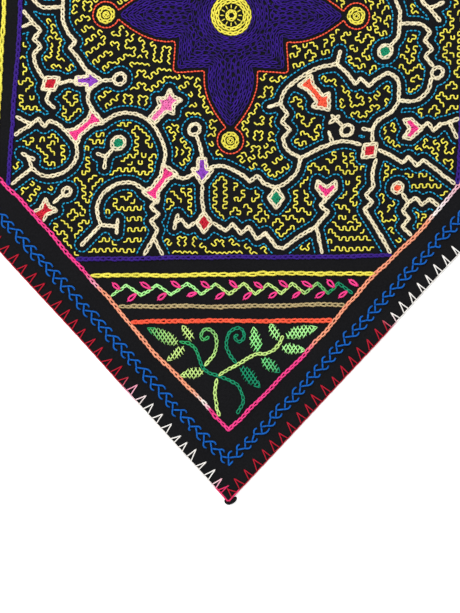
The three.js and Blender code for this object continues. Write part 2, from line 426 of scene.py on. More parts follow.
class Sewing:
    """Collects the threads of one piece until they become one mesh."""

    def __init__(self, seed=0):
        self.points = []
        self.quads = []
        self.dyes = []
        self.wraps = []
        self.count = 0
        self.random = np.random.default_rng(SEED + seed)

    def lay(self, centres, thickness, dye, sides=4, closed=False):
        """Round threads along many lines of as many points each, all at once."""
        centres = np.asarray(centres, float)
        lines, spots = centres.shape[:2]
        if closed:
            ahead = np.roll(centres, -1, 1) - np.roll(centres, 1, 1)
        else:
            ahead = np.gradient(centres, axis=1)
        ahead /= np.maximum(np.linalg.norm(ahead, axis=-1, keepdims=True), 1e-9)
        side = np.cross(ahead, (0.0, 0.0, 1.0))
        side /= np.maximum(np.linalg.norm(side, axis=-1, keepdims=True), 1e-9)
        rise = np.cross(side, ahead)
        radius = np.broadcast_to(np.asarray(thickness, float) / 2, (lines, spots))
        turn = TAU * (np.arange(sides) + 0.5) / sides
        around = (np.cos(turn)[:, None] * side[:, :, None]
                  + np.sin(turn)[:, None] * rise[:, :, None])
        points = centres[:, :, None] + radius[..., None, None] * around
        index = np.arange(lines * spots * sides).reshape(lines, spots, sides) + self.count
        if closed:
            here, there = index, np.roll(index, -1, 1)
        else:
            here, there = index[:, :-1], index[:, 1:]
        quads = np.stack([here, there, np.roll(there, -1, 2), np.roll(here, -1, 2)], -1)
        reach = np.linalg.norm(np.diff(centres, axis=1), axis=-1)
        along = np.concatenate([np.zeros((lines, 1)), np.cumsum(reach, 1)], 1)
        if closed:
            last = np.linalg.norm(centres[:, 0] - centres[:, -1], axis=-1, keepdims=True)
            u0, u1 = along, np.concatenate([along[:, 1:], along[:, -1:] + last], 1)
        else:
            u0, u1 = along[:, :-1], along[:, 1:]
        v0 = np.broadcast_to(np.arange(sides) / sides, quads.shape[:3])
        u0 = np.broadcast_to(u0[..., None], quads.shape[:3])
        u1 = np.broadcast_to(u1[..., None], quads.shape[:3])
        v1 = v0 + 1 / sides
        wrap = np.stack([np.stack([u0, v0], -1), np.stack([u1, v0], -1),
                         np.stack([u1, v1], -1), np.stack([u0, v1], -1)], -2)
        dyes = np.broadcast_to(np.asarray(dye, float), (lines, spots, 3))
        self.points.append(points.reshape(-1, 3))
        self.quads.append(quads.reshape(-1, 4))
        self.wraps.append(wrap.reshape(-1, 4, 2))
        self.dyes.append(np.repeat(dyes.reshape(-1, 3), sides, 0))
        if not closed:
            for i in range(sides // 2 - 1):
                cap = [i, i + 1, sides - 2 - i, sides - 1 - i]
                ends = np.concatenate([index[:, 0][:, cap], index[:, -1][:, cap[::-1]]])
                self.quads.append(ends)
                self.wraps.append(np.zeros((len(ends), 4, 2)))
        self.count += lines * spots * sides

    def shade(self, dye, count, spread=0.05):
        """The dye for each of count stitches, a little lighter or darker from one to the next."""
        dye = np.broadcast_to(np.asarray(dye, float), (count, 3))
        return np.clip(dye * (1 + spread * self.random.standard_normal((count, 1))), 0, 1)


def build_mesh(name, points, quads, wraps, dyes=None):
    """A mesh from arrays of points in millimetres, four-sided faces and their UVs."""
    mesh = bpy.data.meshes.new(name)
    mesh.vertices.add(len(points))
    mesh.vertices.foreach_set("co", (np.asarray(points) * MM).ravel())
    mesh.loops.add(4 * len(quads))
    mesh.loops.foreach_set("vertex_index", np.asarray(quads, np.int32).ravel())
    mesh.polygons.add(len(quads))
    mesh.polygons.foreach_set("loop_start", np.arange(0, 4 * len(quads), 4, dtype=np.int32))
    mesh.polygons.foreach_set("use_smooth", np.ones(len(quads), bool))
    uv = mesh.uv_layers.new(name="UVMap")
    uv.data.foreach_set("uv", np.asarray(wraps).ravel())
    if dyes is not None:
        paint = mesh.color_attributes.new(name="dye", type="FLOAT_COLOR", domain="POINT")
        rgba = np.concatenate([dyes, np.ones((len(dyes), 1))], 1)
        paint.data.foreach_set("color", rgba.ravel())
    mesh.update(calc_edges=True)
    mesh.validate()
    piece = bpy.data.objects.new(name, mesh)
    bpy.context.scene.collection.objects.link(piece)
    return piece


def sewn_piece(name, sewing, material, nodes=()):
    """Turns the collected threads into a piece that rides with the cloth."""
    piece = build_mesh(name, np.concatenate(sewing.points), np.concatenate(sewing.quads),
                       np.concatenate(sewing.wraps), np.concatenate(sewing.dyes))
    piece.data.materials.append(material)
    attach(piece, "root")
    if nodes:
        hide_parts(*nodes)
    return piece


# One link of chain stitch as a closed loop: its places along and across, in link lengths and half
# widths, and how far each lies over the cloth, in thread thicknesses. It comes up out of the cloth
# inside the link before, crosses that link's head and ends in a round head of its own.
LINK_POINTS = 10
LINK_TURN = TAU * np.arange(LINK_POINTS) / LINK_POINTS
LINK_ALONG = 0.5 - 0.66 * np.cos(LINK_TURN)
LINK_ACROSS = np.sin(LINK_TURN) * np.abs(np.sin(LINK_TURN / 2)) / 0.77
LINK_RISE = np.interp(LINK_ALONG, [-0.16, -0.03, 0.3, 0.7, 1.16], [-0.1, 1.0, 0.72, 0.5, 0.42])


def dye_along(dye, s):
    """The colour at distances along a route, for a plain dye or one that changes on the way."""
    if callable(dye):
        return dye(s)
    return np.broadcast_to(np.asarray(dye, float), (len(s), 3))


def chain(sewing, route, dye, pitch=None, width=None, thread=None, spread=0.05, belly=0.0):
    """A row of chain stitches along a route, with links that narrow to both ends by belly."""
    pitch = pitch or threads().chain_pitch / MM
    width = width or threads().chain_width / MM
    thread = thread or threads().chain_thread / MM
    links = max(1, round(route.length / pitch))
    step = route.length / links
    starts = np.arange(links) * step
    s = starts[:, None] + LINK_ALONG * step
    heading = route.heading(s)
    across = np.stack([-heading[..., 1], heading[..., 0]], -1)
    random = sewing.random
    half = (width - thread) / 2 * (1 + 0.12 * random.standard_normal((links, 1)))
    drift = 0.18 * random.standard_normal((links, 1))
    sway = LINK_ACROSS * np.abs(np.sin(LINK_TURN)) ** belly
    flat = route.at(s) + across * (sway * half + drift)[..., None]
    centres = on_cloth(flat, thread * LINK_RISE)
    dyes = sewing.shade(dye_along(dye, starts + step / 2), links, spread)[:, None]
    thickness = thread * (1 + 0.07 * random.standard_normal((links, 1)))
    sewing.lay(centres, thickness, dyes, sides=5, closed=True)


STITCH_SHARES = np.array([0.0, 0.2, 0.5, 0.8, 1.0])
STITCH_RISE = np.array([-0.15, 0.42, 0.55, 0.42, -0.15])
STITCH_TAPER = np.array([0.55, 0.95, 1.0, 0.95, 0.55])


def straight_stitches(sewing, starts, ends, dye, thread=None, lift=0.0, spread=0.05):
    """Single stitches, each from where it comes up to where it goes down."""
    thread = thread or threads().fine_thread / MM
    starts, ends = np.asarray(starts, float), np.asarray(ends, float)
    flat = starts[:, None] + STITCH_SHARES[:, None] * (ends - starts)[:, None]
    rise = thread * STITCH_RISE + lift * np.sin(math.pi * STITCH_SHARES)
    dyes = sewing.shade(dye, len(starts), spread)[:, None]
    sewing.lay(on_cloth(flat, rise), thread * STITCH_TAPER, dyes)


def running(sewing, route, dye, stitch=3.0, gap=1.0, thread=None, spread=0.05):
    """A row of running stitches along a route."""
    count = max(1, round((route.length + gap) / (stitch + gap)))
    pitch = route.length / count
    length = stitch * pitch / (stitch + gap)
    starts = np.arange(count) * pitch + (pitch - length) / 2
    drift = 0.12 * sewing.random.standard_normal((2, count, 2))
    a = route.at(starts) + drift[0]
    b = route.at(starts + length) + drift[1]
    dyes = dye_along(dye, starts)
    straight_stitches(sewing, a, b, dyes, thread, spread=spread)


def laid_thread(sewing, flat, dye):
    """One thread that lies along a line of points and dips into the cloth at both ends."""
    thread = threads().fine_thread / MM
    flat = np.asarray(flat, float)
    lift = np.full(len(flat), thread * 0.5)
    lift[[0, -1]] = -0.2 * thread
    dyes = sewing.shade(dye, 1)[:, None]
    sewing.lay(on_cloth(flat, lift)[None], thread, dyes)


def rounded(points, cuts=(0.2, 0.25)):
    """Cuts the corners of a line, each time at this share of its pieces."""
    p = np.asarray(points, float)
    for cut in cuts:
        near = (1 - cut) * p[:-1] + cut * p[1:]
        far = cut * p[:-1] + (1 - cut) * p[1:]
        p = np.concatenate([p[:1], np.stack([near, far], 1).reshape(-1, 2), p[-1:]])
    return p


def changing(*stops):
    """A dye that changes along the thread: pairs of a distance and a colour's name."""
    places = [place for place, _ in stops]
    shades = np.array([colour(name) for _, name in stops])
    return lambda s: np.stack([np.interp(s, places, shades[:, i]) for i in range(3)], -1)


# A fine grid over the panel, for distances from lines and for what fills the space between them
GRID_STEP = 1.5
GRID_X = np.arange(-246, 246.1, GRID_STEP)
GRID_Y = np.arange(-252, 252.1, GRID_STEP)
FIELD_X, FIELD_Y = np.meshgrid(GRID_X, GRID_Y)


def distance_field(points):
    """Distance from each place of the grid to the nearest of the points."""
    tree = KDTree(len(points))
    for i, (x, y) in enumerate(points):
        tree.insert((x, y, 0.0), i)
    tree.balance()
    found = [tree.find((x, y, 0.0))[2] for x, y in zip(FIELD_X.ravel(), FIELD_Y.ravel())]
    return np.array(found).reshape(FIELD_X.shape)


def inside_outline(points, x, y):
    """Whether places lie inside a closed outline."""
    inside = np.zeros(np.shape(x), bool)
    for (x0, y0), (x1, y1) in zip(points, np.roll(points, -1, 0)):
        if y0 == y1:
            continue
        crosses = (y0 > y) != (y1 > y)
        inside ^= crosses & (x < (x1 - x0) * (y - y0) / (y1 - y0) + x0)
    return inside


def level_lines(field, level):
    """The lines along which a field over the grid has this level."""
    above = field > level
    mixed = above[:-1, :-1].astype(int) + above[1:, :-1] + above[:-1, 1:] + above[1:, 1:]
    links = {}
    for r, c in zip(*np.nonzero((mixed > 0) & (mixed < 4))):
        corners = [(r, c), (r, c + 1), (r + 1, c + 1), (r + 1, c)]
        cuts = []
        for a, b in zip(corners, corners[1:] + corners[:1]):
            if above[a] != above[b]:
                cuts.append((min(a, b), max(a, b)))
        for first, second in zip(cuts[::2], cuts[1::2]):
            links.setdefault(first, []).append(second)
            links.setdefault(second, []).append(first)

    def place(cut):
        a, b = cut
        share = (level - field[a]) / (field[b] - field[a])
        return (GRID_X[a[1]] + share * (GRID_X[b[1]] - GRID_X[a[1]]),
                GRID_Y[a[0]] + share * (GRID_Y[b[0]] - GRID_Y[a[0]]))

    lines = []
    unused = dict.fromkeys(sorted(links, key=lambda cut: (len(links[cut]), cut)))
    while unused:
        cut = next(iter(unused))
        run = []
        while cut is not None:
            run.append(cut)
            del unused[cut]
            cut = next((other for other in links[cut] if other in unused), None)
        if len(run) > 5:
            closed = run[0] in links[run[-1]]
            lines.append(Route([place(cut) for cut in run], closed))
    return lines


def at_grid(field, x, y):
    """The value of a field over the grid at some places."""
    column = np.clip(np.rint((np.asarray(x) - GRID_X[0]) / GRID_STEP).astype(int), 0,
                     len(GRID_X) - 1)
    row = np.clip(np.rint((np.asarray(y) - GRID_Y[0]) / GRID_STEP).astype(int), 0,
                  len(GRID_Y) - 1)
    return field[row, column]


# The panel's line work. One half is charted and repeated by a half turn about the middle.
# The chart began from places read off the photograph, and follows its arrangement with
# figures and lines moved by up to about 30 mm.
# A bend is smooth, a step goes straight from point to point, a loop is a round or oval end, and a
# shape is an outlined and filled figure at a place and angle.

BENDS = [
    # left, from the seam with the other half down
    [(-168, 8), (-168, -6), (-162, -20)],
    [(-153, -42), (-147, -52), (-141, -59)],
    [(-140, -73), (-143, -84), (-138, -95)],
    [(-187, -64), (-194, -52), (-197, -40)],
    [(-180, -76), (-184, -86), (-176, -93)],
    [(-164, -117), (-172, -110), (-180, -106)],
    [(-154, -129), (-153, -141), (-160, -153), (-172, -160), (-186, -161), (-198, -154)],
    [(-128, -107), (-112, -99), (-94, -99), (-79, -108), (-70, -122), (-65, -137), (-67, -152)],
    [(-84, -176), (-97, -168), (-113, -169), (-127, -179), (-133, -194), (-129, -210)],
    # middle
    [(-56, -160), (-46, -163), (-36, -158)],
    [(-28, -143), (-30, -132), (-34, -121)],
    [(-20, -152), (-8, -150), (4, -155), (14, -160)],
    [(34, -168), (46, -171), (58, -165), (67, -155), (70, -142)],
    # right
    [(70, -142), (57, -134), (52, -122)],
    [(57, -98), (50, -88), (55, -74), (69, -62), (87, -52), (106, -48)],
    [(106, -48), (116, -57), (124, -68)],
    [(145, -63), (157, -57), (167, -65), (168, -84)],
    [(168, -84), (184, -84), (196, -75), (200, -62)],
    [(202, -50), (194, -40)],
    [(199, -16), (190, -8), (178, -7), (168, -8)],
    [(168, -8), (167, -20), (159, -29)],
    [(168, -84), (161, -95), (147, -104), (142, -114), (142, -124)],
    [(146, -143), (142, -156), (143, -170)],
    [(130, -128), (116, -125), (102, -127), (86, -134), (70, -142)],
    [(210, -107), (222, -104), (240, -96)],
]

STEPS = [
    # left
    [(-162, -20), (-155, -27), (-161, -34), (-153, -42)],
    [(-128, -66), (-118, -65)],
    [(-153, -67), (-162, -66), (-171, -69)],
    [(-197, -40), (-190, -32), (-197, -24), (-190, -16), (-198, -8)],
    [(-212, -14), (-198, -8), (-208, 4)],
    [(-180, -106), (-186, -112), (-192, -104), (-199, -110)],
    [(-214, -102), (-199, -110), (-213, -119)],
    [(-216, -168), (-198, -154), (-202, -142)],
    [(-208, -139), (-196, -145)],
    [(-176, -188), (-167, -180)],
    [(-129, -210), (-148, -230)],
    [(-129, -210), (-113, -211)],
    [(-112, -204), (-113, -218)],
    [(-117, -134), (-124, -142), (-133, -139)],
    [(-124, -142), (-126, -153)],
    # middle
    [(-73, -184), (-79, -192), (-71, -199), (-79, -206), (-72, -214), (-76, -223)],
    [(-86, -240), (-76, -223), (-67, -240)],
    [(-28, -170), (-28, -184), (-26, -198)],
    [(-35, -207), (-42, -212), (-48, -204), (-54, -207)],
    [(-52, -199), (-56, -213)],
    [(-17, -207), (-4, -215), (3, -208), (11, -218), (19, -211), (27, -223), (36, -217),
     (46, -231), (54, -232), (68, -221), (86, -210)],
    [(86, -210), (93, -240)],
    [(14, -160), (20, -166), (27, -160), (34, -168)],
    [(96, -183), (90, -189), (98, -196), (91, -203), (86, -210)],
    # right
    [(52, -122), (60, -114), (51, -106), (57, -98)],
    [(50, -88), (38, -91)],
    [(106, -48), (109, -35)],
    [(101, -99), (111, -109)],
    [(99, -107), (108, -100)],
    [(124, -68), (130, -62), (138, -70), (145, -63)],
    [(194, -40), (201, -32), (193, -24), (199, -16)],
    [(142, -114), (132, -112)],
    [(148, -133), (160, -139), (172, -146), (178, -140), (186, -149), (193, -143), (236, -176)],
    [(143, -170), (135, -178), (142, -186), (134, -193), (146, -212), (164, -242)],
    [(102, -127), (98, -116)],
    [(190, -112), (197, -106), (203, -114), (210, -107)],
    [(218, -105), (226, -120)],
    [(172, -177), (178, -186), (185, -181), (192, -188), (199, -182), (210, -190)],
    [(178, -186), (172, -194), (179, -202), (172, -210), (182, -220)],
]

LOOPS = [
    {"centre": (-111, -64), "radius": 6.0, "fill": None},
    {"centre": (-163, -177), "radius": 4.4, "fill": None},
    {"centre": (-112, -128), "radius": 7.0, "fill": "dark_green"},
    {"centre": (-36, -114), "radius": 6.0, "fill": None},
    {"centre": (116, -114), "radius": 6.2, "fill": None},
    {"centre": (206, -56), "radius": 6.0, "fill": None},
    {"centre": (154, -35), "radius": 7.0, "fill": "dark_green"},
    {"centre": (167, -171), "radius": 5.6, "fill": "orange"},
]

# Outlines of the filled figures, each as if it pointed along X
BONE = [(-17, -9), (-8, -3.8), (8, -3.8), (17, -9), (17, 9), (8, 3.8), (-8, 3.8), (-17, 9)]
ARROW = [(-13, -3.4), (-2, -4.2), (-2, -10), (12, 0), (-2, 10), (-2, 4.2), (-13, 3.4)]
LOZENGE = [(-10, 0), (0, -7.5), (10, 0), (0, 7.5)]
BOW = [(-10, -8), (0, -4), (10, -8), (8, 0), (10, 8), (0, 4), (-10, 8), (-8, 0)]
HEART = [(-9, 0), (2, -10), (9, -9), (3, 0), (9, 9), (2, 10)]
DOUBLE_ARROW = [(-19, -8), (-10, -3.8), (5, -4.2), (6, -10.5), (19, 0), (6, 10.5), (5, 4.2),
                (-10, 3.8), (-19, 8)]
FISH = [(-17, -3.6), (0, -4.2), (3, -11), (9, -5), (18, -8), (15, 0), (18, 8), (9, 5), (3, 11),
        (0, 4.2), (-17, 3.6)]

SHAPES = [
    {"outline": BONE, "centre": (-146, -112), "angle": 40, "dye": "pink"},
    {"outline": ARROW, "centre": (-141, -66), "angle": 0, "dye": "violet"},
    {"outline": LOZENGE, "centre": (-180, -69), "angle": 35, "dye": "crimson"},
    {"outline": BOW, "centre": (-186, -197), "angle": 45, "dye": "crimson"},
    {"outline": BONE, "centre": (-70, -168), "angle": 55, "dye": "pink"},
    {"outline": FISH, "centre": (-67, -93), "angle": 48, "dye": "light_pink"},
    {"outline": ARROW, "centre": (-28, -156), "angle": -90, "dye": "violet"},
    {"outline": LOZENGE, "centre": (-26, -207), "angle": 90, "dye": "crimson"},
    {"outline": LOZENGE, "centre": (46, -182), "angle": 90, "dye": "dark_green"},
    {"outline": HEART, "centre": (96, -174), "angle": 90, "dye": "pink"},
    {"outline": DOUBLE_ARROW, "centre": (86, -79), "angle": -50, "dye": "orange"},
    {"outline": LOZENGE, "centre": (139, -134), "angle": 45, "dye": "crimson"},
    {"outline": HEART, "centre": (182, -112), "angle": 180, "dye": "pink"},
]


def half_turned(points, turned):
    """The points, or their half turn about the middle."""
    points = np.asarray(points, float)
    return -points if turned else points


def placed(shape, turned):
    """The outline of a filled figure on the cloth."""
    angle = math.radians(shape["angle"])
    c, s = math.cos(angle), math.sin(angle)
    outline = np.array(shape["outline"]) @ np.array([(c, s), (-s, c)]) + shape["centre"]
    return half_turned(outline, turned)


def to_border(points):
    """Moves an end of a line that stops close to the border on, so that it meets the border."""
    points = np.array(points, float)
    for end, before in ((0, 1), (-1, -2)):
        ahead = points[end] - points[before]
        beyond = points[end] + 10 * ahead / np.linalg.norm(ahead)
        room = border_room(*points[end])
        if room < 9 and border_room(*beyond) < room - 5:
            points[end] = beyond
    return points


def panel_routes():
    """Every cream line of the panel, cut where it meets the lines round the panel."""
    routes = []
    for turned in (False, True):
        for points in BENDS:
            routes.append(bend(to_border(half_turned(points, turned))))
        for points in STEPS:
            routes.extend(steps(to_border(half_turned(points, turned))))
        for loop in LOOPS:
            routes.append(ring(half_turned(loop["centre"], turned), loop["radius"], 0.85, 40))
        for shape in SHAPES:
            outline = placed(shape, turned)
            routes.extend(steps(np.concatenate([outline, outline[:1]])))
    cut = []
    for route in routes:
        cut.extend(inside_parts(route, lambda x, y: border_room(x, y) > 1.0))
    return cut


def hatching(outline, angle, spacing, inset, longest):
    """Where short stitches in rows start and end that fill an outline."""
    a = math.radians(angle)
    turn = np.array([(math.cos(a), -math.sin(a)), (math.sin(a), math.cos(a))])
    local = np.asarray(outline) @ turn
    starts, ends = [], []
    for y in np.arange(local[:, 1].min() + spacing, local[:, 1].max() - spacing / 2, spacing):
        cuts = []
        for (x0, y0), (x1, y1) in zip(local, np.roll(local, -1, 0)):
            if (y0 > y) != (y1 > y):
                cuts.append(x0 + (x1 - x0) * (y - y0) / (y1 - y0))
        cuts.sort()
        for low, high in zip(cuts[::2], cuts[1::2]):
            low, high = low + inset, high - inset
            if high - low < 0.8:
                continue
            pieces = max(1, math.ceil((high - low) / longest))
            places = np.linspace(low, high, pieces + 1)
            for p, q in zip(places, places[1:]):
                starts.append((p, y))
                ends.append((q, y))
    return np.reshape(starts, (-1, 2)) @ turn.T, np.reshape(ends, (-1, 2)) @ turn.T


def fill(sewing, outline, angle, dye):
    """Fills an outline in the panel with rows of small chain stitches."""
    starts, ends = hatching(outline, angle, 2.2, 1.6, 200)
    for start, end in zip(starts, ends):
        for row in inside_parts(Route([start, end]), lambda x, y: border_room(x, y) > 0):
            chain(sewing, row, dye, pitch=3.9, width=2.9, thread=1.3, spread=0.12)


def petal_outline():
    """The rosette's outline, with long petals along the diagonals and short ones between."""
    def polar(radius, angle):
        return np.array([radius * math.cos(angle), radius * math.sin(angle)])

    t = np.linspace(0, 1, 24, endpoint=False)[:, None]
    step = math.pi / 4
    runs = []
    for i in range(8):
        angle = i * step
        radius = SHORT_PETAL if i % 2 else LONG_PETAL
        corners = [polar(PETAL_VALLEY, angle - step / 2), polar(radius, angle),
                   polar(PETAL_VALLEY, angle + step / 2)]
        for way, start, end in ((-1, corners[0], corners[1]), (1, corners[1], corners[2])):
            sideways = polar(radius * PETAL_BULGE, angle + way * math.pi / 2)
            belly = polar(radius * PETAL_BELLY, angle) + sideways
            runs.append((1 - t) ** 2 * start + 2 * t * (1 - t) * belly + t ** 2 * end)
    return np.concatenate(runs)


def ring_centres():
    """The middles of the small rings at the tips of the long petals."""
    d = TIP_RING["distance"]
    return [(d, 0), (0, d), (-d, 0), (0, -d)]


class PanelFields:
    """Distances over the panel that the filling, outlines and rosette share."""

    def __init__(self):
        lines = [route.at(np.arange(0, route.length, 1.0)) for route in panel_routes()]
        self.cream = distance_field(np.concatenate(lines))
        outline = petal_outline()
        inside = inside_outline(outline, FIELD_X, FIELD_Y)
        edge = Route(outline, True)
        away = distance_field(edge.at(np.arange(0, edge.length, 0.7)))
        self.petals = np.where(inside, -away, away)
        self.rosette = self.petals
        for x, y in ring_centres():
            disc = np.hypot(FIELD_X - x, FIELD_Y - y) - TIP_RING["radius"]
            self.rosette = np.minimum(self.rosette, disc)
        self.room = border_room(FIELD_X, FIELD_Y)


FIELDS = {}


def fields():
    """The shared distances, worked out once."""
    if "panel" not in FIELDS:
        FIELDS["panel"] = PanelFields()
    return FIELDS["panel"]


def islands(mask):
    """Numbers the separate areas of a mask over the grid."""
    label = np.zeros(mask.shape, int)
    count = 0
    for r, c in zip(*np.nonzero(mask)):
        if label[r, c]:
            continue
        count += 1
        label[r, c] = count
        queue = [(r, c)]
        while queue:
            a, b = queue.pop()
            for p, q in ((a + 1, b), (a - 1, b), (a, b + 1), (a, b - 1)):
                if mask[p, q] and not label[p, q]:
                    label[p, q] = count
                    queue.append((p, q))
    return label, count


def meanders(sites, random):
    """Winding walks over a square lattice that turn at every step and keep apart.

    Long walks come first. Short ones fill what is left, and may pass closer to the others.
    """
    free = set(sites)
    sewn = set()

    def beside(site):
        x, y = site
        return [(x + 1, y), (x, y + 1), (x - 1, y), (x, y - 1)]

    def clear(site, most, tail=()):
        return site in free and sum(n in sewn and n not in tail for n in beside(site)) <= most

    def turn_at(a, b, c):
        return (b[0] - a[0]) * (c[1] - b[1]) - (b[1] - a[1]) * (c[0] - b[0])

    def grow(walk, longest, most):
        turns = [turn_at(*three) for three in zip(walk, walk[1:], walk[2:])]
        while len(walk) < longest:
            choices = []
            for other in beside(walk[-1]):
                if not clear(other, most, walk[-3:]):
                    continue
                turn = turn_at(*walk[-2:], other) if len(walk) > 1 else 1
                if turn == 0 or turns[-2:] == [turn, turn]:
                    continue
                crowd = sum((other[0] + a, other[1] + b) in free for a in range(-2, 3)
                            for b in range(-2, 3))
                stair = turns[-3:] == [-turn, turn, -turn]
                choices.append((0.3 * crowd + random.random() + 1.2 * stair, other, turn))
            if not choices:
                break
            _, best, turn = min(choices)
            walk.append(best)
            turns.append(turn)
            sewn.add(best)
            free.discard(best)
        return walk

    walks = []
    for most, least in ((0, 4), (1, 3)):
        for start in sorted(sites, key=lambda s: (s[1] + 0.35 * s[0], s[0])):
            if not clear(start, most):
                continue
            sewn.add(start)
            free.discard(start)
            longest = random.integers(16, 44) if most == 0 else 8
            walk = grow(grow([start], longest, most)[::-1], longest, most)
            if len(walk) >= least:
                walks.append(np.array(walk, float))
            else:
                sewn.difference_update(walk)
                free.update(walk)
    return walks


# Materials

def add_node(tree, kind, settings=None, inputs=None):
    """Adds a node, sets what is given and links what comes from other nodes."""
    node = tree.nodes.new(kind)
    for name, value in (settings or {}).items():
        setattr(node, name, value)
    for name, value in (inputs or {}).items():
        if isinstance(value, bpy.types.NodeSocket):
            tree.links.new(value, node.inputs[name])
        else:
            node.inputs[name].default_value = value
    return node


def new_material(name):
    """An empty material with a surface shader, and that shader and its tree."""
    material = bpy.data.materials.new(name)
    material.use_nodes = True
    tree = material.node_tree
    tree.nodes.clear()
    shader = add_node(tree, "ShaderNodeBsdfPrincipled")
    add_node(tree, "ShaderNodeOutputMaterial", None, {"Surface": shader.outputs["BSDF"]})
    return material, tree, shader


def wave(tree, along, per_unit):
    """A sine wave with this many waves for each unit along."""
    scaled = add_node(tree, "ShaderNodeMath", {"operation": "MULTIPLY"},
                      {0: along, 1: TAU * per_unit})
    return add_node(tree, "ShaderNodeMath", {"operation": "SINE"}, {0: scaled.outputs[0]})


def black_cotton():
    """Plain-woven cotton, piece dyed black: matt, with a faint grey bloom of standing fibres.

    Cotton's IOR is about 1.53. The yarns are drawn a little coarser than real, at 0.9 mm, because
    finer ones don't show at a millimetre to the pixel. Slow patches of wear and lint lift the black.
    """
    material, tree, shader = new_material("Black cotton, plain woven and piece dyed")
    shader.inputs["Roughness"].default_value = 0.95
    shader.inputs["IOR"].default_value = 1.53
    shader.inputs["Specular IOR Level"].default_value = 0.06
    uv = add_node(tree, "ShaderNodeUVMap", {"uv_map": "UVMap"})
    split = add_node(tree, "ShaderNodeSeparateXYZ", None, {0: uv.outputs["UV"]})
    pitch = sizes().weave_pitch / MM
    warp = wave(tree, split.outputs["X"], 0.5 / pitch)
    weft = wave(tree, split.outputs["Y"], 0.5 / pitch)
    weave = add_node(tree, "ShaderNodeMath", {"operation": "MULTIPLY"},
                     {0: warp.outputs[0], 1: weft.outputs[0]})
    slub = add_node(tree, "ShaderNodeTexNoise", None,
                    {"Vector": uv.outputs["UV"], "Scale": 0.45, "Detail": 3.0, "Roughness": 0.6})
    patches = add_node(tree, "ShaderNodeTexNoise", None,
                       {"Vector": uv.outputs["UV"], "Scale": 0.02, "Detail": 3.0})
    height = add_node(tree, "ShaderNodeMath", {"operation": "MULTIPLY_ADD"},
                      {0: slub.outputs["Fac"], 1: 1.4, 2: weave.outputs[0]})
    bump = add_node(tree, "ShaderNodeBump", None,
                    {"Strength": 0.55, "Distance": 0.35 * MM, "Height": height.outputs[0]})
    bloom = add_node(tree, "ShaderNodeMath", {"operation": "MULTIPLY_ADD"},
                     {0: patches.outputs["Fac"], 1: 0.5, 2: slub.outputs["Fac"]})
    tone = add_node(tree, "ShaderNodeMapRange", None,
                    {"Value": bloom.outputs[0], "From Min": 0.5, "From Max": 1.05,
                     "To Min": 0.0, "To Max": 1.0})
    base = tuple(colour("cotton")) + (1.0,)
    grey = tuple(colour("cotton") * 1.5 + 0.001) + (1.0,)
    mix = add_node(tree, "ShaderNodeMix", {"data_type": "RGBA"},
                   {"Factor": tone.outputs[0], 6: base, 7: grey})
    tree.links.new(mix.outputs[2], shader.inputs["Base Color"])
    tree.links.new(bump.outputs["Normal"], shader.inputs["Normal"])
    return material


def pearl_cotton(title):
    """Pearl cotton, mercerised and two-ply twisted: a soft lustre, and shade painted into the dye,
    darker in the hollows between the twist's plies.

    Cotton's IOR is about 1.53. Mercerising makes the fibre round and glossy, so its roughness is
    lower than the ground's. The dye is painted on each stitch, because dye lots and the wear of
    the hand differ from stitch to stitch. A ply of this thread rises once every 1.6 mm.
    """
    material, tree, shader = new_material(title)
    shader.inputs["Roughness"].default_value = 0.62
    shader.inputs["IOR"].default_value = 1.53
    shader.inputs["Specular IOR Level"].default_value = 0.16
    shader.inputs["Sheen Weight"].default_value = 0.04
    shader.inputs["Sheen Roughness"].default_value = 0.45
    uv = add_node(tree, "ShaderNodeUVMap", {"uv_map": "UVMap"})
    split = add_node(tree, "ShaderNodeSeparateXYZ", None, {0: uv.outputs["UV"]})
    along = add_node(tree, "ShaderNodeMath", {"operation": "MULTIPLY"},
                     {0: split.outputs["X"], 1: 1 / 1.6})
    spiral = add_node(tree, "ShaderNodeMath", {"operation": "ADD"},
                      {0: along.outputs[0], 1: split.outputs["Y"]})
    ply = wave(tree, spiral.outputs[0], 1.0)
    # Painted shade: the dye is darkened down to 0.6 in the hollows of the twist, where shade would
    # fall.
    painted_groove_shade = add_node(tree, "ShaderNodeMapRange", None,
                      {"Value": ply.outputs[0], "From Min": -1.0, "From Max": 0.1,
                       "To Min": 0.6, "To Max": 1.0})
    dye = add_node(tree, "ShaderNodeAttribute", {"attribute_name": "dye"})
    scaled = add_node(tree, "ShaderNodeVectorMath", {"operation": "SCALE"},
                      {0: dye.outputs["Color"], "Scale": painted_groove_shade.outputs[0]})
    bump = add_node(tree, "ShaderNodeBump", None,
                    {"Strength": 0.6, "Distance": 0.2 * MM, "Height": ply.outputs[0]})
    tree.links.new(scaled.outputs[0], shader.inputs["Base Color"])
    tree.links.new(bump.outputs["Normal"], shader.inputs["Normal"])
    return material


def seamless_paper():
    """Matt white background paper, uncoated: no gloss, so the surface stays even and white.

    It glows a little, like paper on a light table, so that the cloth casts hardly any shadow.
    """
    material, tree, shader = new_material("White background paper, uncoated")
    shader.inputs["Emission Color"].default_value = (1, 1, 1, 1)
    shader.inputs["Emission Strength"].default_value = 0.3
    shader.inputs["Roughness"].default_value = 0.95
    shader.inputs["Specular IOR Level"].default_value = 0.1
    grain = add_node(tree, "ShaderNodeTexNoise", None, {"Scale": 900.0, "Detail": 2.0})
    tone = add_node(tree, "ShaderNodeMapRange", None,
                    {"Value": grain.outputs["Fac"], "To Min": 0.9, "To Max": 0.93})
    tree.links.new(tone.outputs[0], shader.inputs["Base Color"])
    return material


def thread_material(name):
    """The material of a thread colour, made once."""
    title = f"Pearl cotton, mercerised, {name}"
    if title in bpy.data.materials:
        return bpy.data.materials[title]
    return pearl_cotton(title)


# Operators

